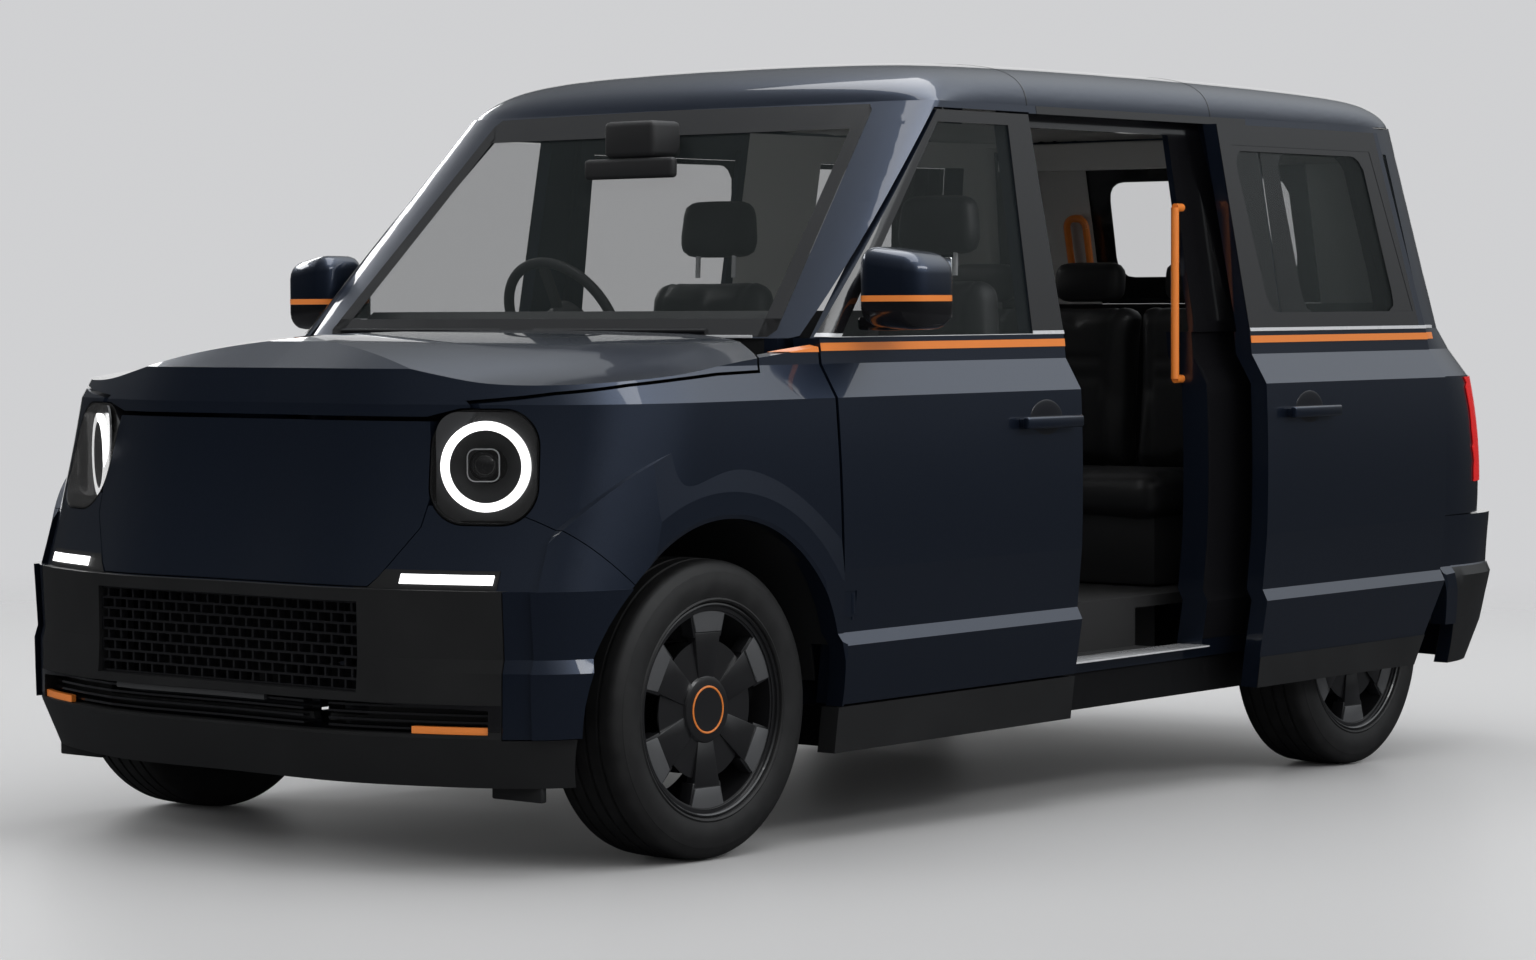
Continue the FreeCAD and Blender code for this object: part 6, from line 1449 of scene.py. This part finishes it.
# %% [markdown]
# A front seat has a cushion, a back that narrows towards the shoulders with bolsters at its sides, and a
# headrest on two bright posts. It is modelled once about the middle and copied to each side. A plain base
# carries it.

# %% Front seats
SEAT_X = 0.380
CUSHION = ((-0.235, 0.965, 0.655), (0.235, 1.450, 0.755))
CUSHION_SEAM_X, CUSHION_SEAM_Y = 0.150, 1.10
BACK = ((-0.225, 1.455, 0.745), (0.225, 1.555, 1.345))
BACK_SEAM_X, BACK_SEAM_Z = 0.140, 1.13
HEADREST = ((-0.125, 1.475, 1.400), (0.125, 1.555, 1.555))
BACK_FOOT, HEADREST_FOOT = (1.50, 0.77), (1.49, 0.77)
BASE_HALF = 0.200
POST_X, POST_RADIUS = 0.065, 0.007


def front_seat():
    """Cushion, back and headrest of a front seat about x = 0."""
    cushion = puffed(block(*CUSHION, 0.040, 3))
    seam(cushion, lambda at: min(abs(abs(at.x) - CUSHION_SEAM_X), abs(at.y - CUSHION_SEAM_Y))
         if at.z > 0.70 else 1)
    back = puffed(block(*BACK, 0.045, 3))
    for vertex in back.data.vertices:
        rise = max(0, (vertex.co.z - 1.10) / 0.25)
        vertex.co.x *= 1 - 0.16 * rise ** 2
        side = max(0, (abs(vertex.co.x) - 0.12) / 0.10)
        if vertex.co.y < 1.50:
            vertex.co.y -= 0.016 * side ** 2 * (1 - 0.5 * rise)
    seam(back, lambda at: min(abs(abs(at.x) - BACK_SEAM_X), abs(at.z - BACK_SEAM_Z))
         if at.y < 1.52 else 1)
    headrest = puffed(block(*HEADREST, 0.036, 3), HEADREST_CAP)
    for vertex in headrest.data.vertices:
        vertex.co.x *= 1 - 0.10 * max(0, (vertex.co.z - 1.46) / 0.1)
    return cushion, lean(back, *BACK_FOOT), lean(headrest, *HEADREST_FOOT)


for part_name, piece in zip(("cushion", "back", "headrest"), front_seat()):
    for side, sign in SIDES:
        twin = place(copy_of(piece), Matrix.Translation((sign * SEAT_X, 0, 0)))
        seat_piece(twin, f"front_{part_name}_{side}")
    bpy.data.objects.remove(piece)
for side, sign in SIDES:
    middle = sign * SEAT_X
    base = block((middle - BASE_HALF, 1.020, 0.472), (middle + BASE_HALF, 1.500, 0.668), 0.020, 2)
    hand_over(base, "front_seat_base_" + side, CABIN)
    posts = joined([tube([(middle + x, 1.545, 1.340), (middle + x, 1.550, 1.430)], POST_RADIUS)
                    for x in (-POST_X, POST_X)])
    hand_over(posts, "headrest_posts_" + side, BRIGHT)
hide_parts("front_seats")
tell("front seats")

# %% [markdown]
# The rear bench has one wide cushion, three backs and three headrests on a closed base. Two seams run up
# each back and lean outward above the shoulders, and two short ones cross it, so the middle stands out as
# a pad of its own.

# %% Rear bench
BENCH_HALF = 0.585
BENCH_SEAM_X, BENCH_SEAM_Y = 0.195, 2.345
BENCH_PITCH = 0.390
BENCH_FOOT = (2.75, 0.77)
BENCH_BASE = ((-0.540, 2.350, 0.472), (0.540, 2.750, 0.672))
CROSS_SEAMS = (1.100, 1.045)


def bench_back(middle):
    """A back of the bench about its own middle, with its seams."""
    def near_seam(at):
        if at.y >= 2.79:
            return 1
        aside = abs(at.x - middle)
        upright = abs(aside - 0.110 - 0.10 * max(0, at.z - 1.14))
        crossing = [abs(at.z - z) + 10 * max(0, aside - 0.115) for z in CROSS_SEAMS]
        return min(upright, *crossing)

    back = puffed(block((middle - 0.190, 2.725, 0.765), (middle + 0.190, 2.825, 1.270), 0.035, 3))
    return lean(seam(back, near_seam), *BENCH_FOOT)


def bench_headrest(middle):
    """A small rounded rest over a back."""
    form = block((middle - 0.115, 2.745, 1.272), (middle + 0.115, 2.825, 1.388), 0.034, 3)
    return lean(puffed(form, HEADREST_CAP), *BENCH_FOOT)


bench = puffed(block((-BENCH_HALF, 2.300, 0.670), (BENCH_HALF, 2.715, 0.775), 0.040, 3))
seam(bench, lambda at: min(abs(abs(at.x) - BENCH_SEAM_X), abs(at.y - BENCH_SEAM_Y))
     if at.z > 0.73 or at.y < 2.33 else 1)
seat_piece(bench, "bench_cushion")
for index in range(3):
    middle = (index - 1) * BENCH_PITCH
    seat_piece(bench_back(middle), f"bench_back_{index}")
    seat_piece(bench_headrest(middle), f"bench_headrest_{index}")
bench_base = hand_over(block(*BENCH_BASE, 0.015, 2), "bench_base", CABIN)
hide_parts("rear_bench")
tell("rear bench")

# %% [markdown]
# ## Last pieces
#
# An orange pull handle sits on the tailgate's lining, to close it from inside. It is a rounded loop on
# two feet. The wall behind it leans, so rays cast rearward find the wall at its foot and at its head, and
# the loop leans alike.

# %% Pull handle on the tailgate's lining
PULL_X = -0.440
PULL_LOW, PULL_HIGH = 1.300, 1.530
PULL_HALF, PULL_CORNER, PULL_OFF = 0.036, 0.030, 0.032
PULL_RADIUS, PULL_FOOT_RADIUS, PULL_FOOT_REACH = 0.0115, 0.013, 0.034


def rear_face_inside(x, z):
    """How far behind the axle the cabin ends at a place across and up."""
    start = STANCE @ Vector((x, 2.7, z))
    way = STANCE.to_3x3() @ Vector((0, 1, 0))
    ends = []
    for name in ("tailgate", "rear_window", "roof_panel", "body_side_left", "body_side_right"):
        hit, where, _, _ = nodes[name].ray_cast(start, way)
        if hit:
            ends.append((STANCE.inverted() @ where).y)
    return min(ends, default=3.3)


def pull_loop():
    """Points round an upright loop that stands a little off the leaning wall behind it."""
    low_wall, high_wall = rear_face_inside(PULL_X, PULL_LOW), rear_face_inside(PULL_X, PULL_HIGH)
    half_height = (PULL_HIGH - PULL_LOW) / 2
    points = []
    for across, up in rounded_square(PULL_HALF, half_height, PULL_CORNER, 7):
        share = 0.5 + up / (PULL_HIGH - PULL_LOW)
        wall = low_wall + share * (high_wall - low_wall)
        points.append((PULL_X + across, wall - PULL_OFF, PULL_LOW + half_height + up))
    return points + points[:1]


def pull_foot(end):
    """A short round foot from an end of the loop to the wall."""
    return tube([(PULL_X, end[1], end[2]), (PULL_X, end[1] + PULL_FOOT_REACH, end[2])], PULL_FOOT_RADIUS, 12)


loop = pull_loop()
feet = [pull_foot(choose(loop, key=lambda at: at[2])) for choose in (min, max)]
hand_over(joined([tube(loop, PULL_RADIUS, 12)] + feet), "tailgate_pull_handle", ORANGE, "tailgate")
tell("tailgate pull handle")

# %% [markdown]
# The slot under the grille follows the bumper's curve. Rays cast from ahead find the bumper's face just
# below the slot, and its bars, its back, darkened past the plastic's own black as painted shade, and the
# orange accents at its ends are drawn along that line. The bars and the back leave a gap where the towing
# eye goes in.

# %% Slot under the grille
TOW_WAY = (0.262, 0.338)
FACE_HEIGHT = 0.312
BAR_FIRST, BAR_PITCH, BAR_HIGH, BAR_DEPTHS, BAR_END = 0.333, 0.016, 0.005, (0.022, 0.050), 0.79
BACK_HEIGHTS, BACK_DEPTHS, BACK_END = (0.316, 0.404), (0.075, 0.079), 0.82
GREY_BAR, GREY_BAR_HEIGHTS, GREY_BAR_DEPTHS = (-0.36, 0.14), (0.379, 0.391), (0.014, 0.024)
ACCENT, ACCENT_HEIGHTS, ACCENT_DEPTHS = (0.565, 0.775), (0.327, 0.343), (0.002, 0.016)


def face_ahead(x):
    """How far behind the axle the bumper's face stands, seen from ahead."""
    turn = STANCE.to_3x3()
    start = STANCE @ Vector((x, -2, FACE_HEIGHT))
    hit, where, _, _ = nodes["front_bumper"].ray_cast(start, turn @ Vector((0, 1, 0)))
    return (STANCE.inverted() @ where).y if hit else -0.60


def along_slot(start, end, low, high, front, back):
    """A flat bar that follows the bumper's face from one place across to another."""
    places = [start + (end - start) * step / 8 for step in range(9)]
    outline = [(x, face_ahead(x) + front, low) for x in places]
    outline += [(x, face_ahead(x) + back, low) for x in reversed(places)]
    return plate(outline, (0, 0, high - low))


def beside_tow_way(end, heights, depths):
    """Two bars along the slot, one on each side of the towing eye's way in."""
    return joined([along_slot(-end, TOW_WAY[0], *heights, *depths),
                   along_slot(TOW_WAY[1], end, *heights, *depths)])


for index in range(4):
    z = BAR_FIRST + BAR_PITCH * index
    hand_over(beside_tow_way(BAR_END, (z, z + BAR_HIGH), BAR_DEPTHS), f"slot_bar_{index + 1}", BLACK)
# The back is darkened near to black: painted shade deep in the slot.
hand_over(beside_tow_way(BACK_END, BACK_HEIGHTS, BACK_DEPTHS), "slot_back", PAINTED_SHADE_NAVY)
hand_over(along_slot(*GREY_BAR, *GREY_BAR_HEIGHTS, *GREY_BAR_DEPTHS), "slot_grey_bar", LAMP_MASK)
for side, sign in SIDES:
    accent = along_slot(sign * ACCENT[0], sign * ACCENT[1], *ACCENT_HEIGHTS, *ACCENT_DEPTHS)
    hand_over(accent, "bumper_accent_" + side, ORANGE)
tell("slot under the grille")

# %% [markdown]
# Three small things finish the cab: a header over the rear window's head, a painted plate over the hinge
# notch in each front door, and a flap under each end of the bumper's lip that guides air round the tyre.
# Rays find where the cabin ends at the rear and where the door's skin is, so the header and the plates
# neither float nor sink.

# %% Header, hinge covers and lip flaps
HEADER_HALF, HEADER_HEIGHTS, HEADER_DEPTHS = 0.640, (1.675, 1.760), (0.045, 0.012)
HEADER_PROBES = [(x, z) for x in (-0.60, -0.30, 0.01, 0.30, 0.60) for z in (1.680, 1.720, 1.755)]
HINGE_COVER, HINGE_COVER_HEIGHTS, HINGE_COVER_THICK = (0.4415, 0.4930), (0.5290, 0.5910), 0.0025
HINGE_PROBE = (0.505, 0.560)
LIP_FLAP = ((0.650, -0.470, 0.172), (0.800, -0.452, 0.212))

header_back = min(rear_face_inside(x, z) for x, z in HEADER_PROBES)
print("the cabin ends at", round(header_back, 3), "behind the axle at its header")
header = block((-HEADER_HALF, header_back - HEADER_DEPTHS[0], HEADER_HEIGHTS[0]),
               (HEADER_HALF, header_back - HEADER_DEPTHS[1], HEADER_HEIGHTS[1]), 0.008, 2)
hand_over(header, "rear_header", LINING)
for side, sign in SIDES:
    out = side_of("front_door_" + side, sign, *HINGE_PROBE)
    cover = block((out - HINGE_COVER_THICK, HINGE_COVER[0], HINGE_COVER_HEIGHTS[0]),
                  (out, HINGE_COVER[1], HINGE_COVER_HEIGHTS[1]))
    hand_over(on_side(cover, sign), "hinge_cover_" + side, PAINT, "front_door_" + side)
    hand_over(on_side(block(*LIP_FLAP, 0.004, 2), sign), "lip_flap_" + side, MOULDING)
tell("header, hinge covers and lip flaps")
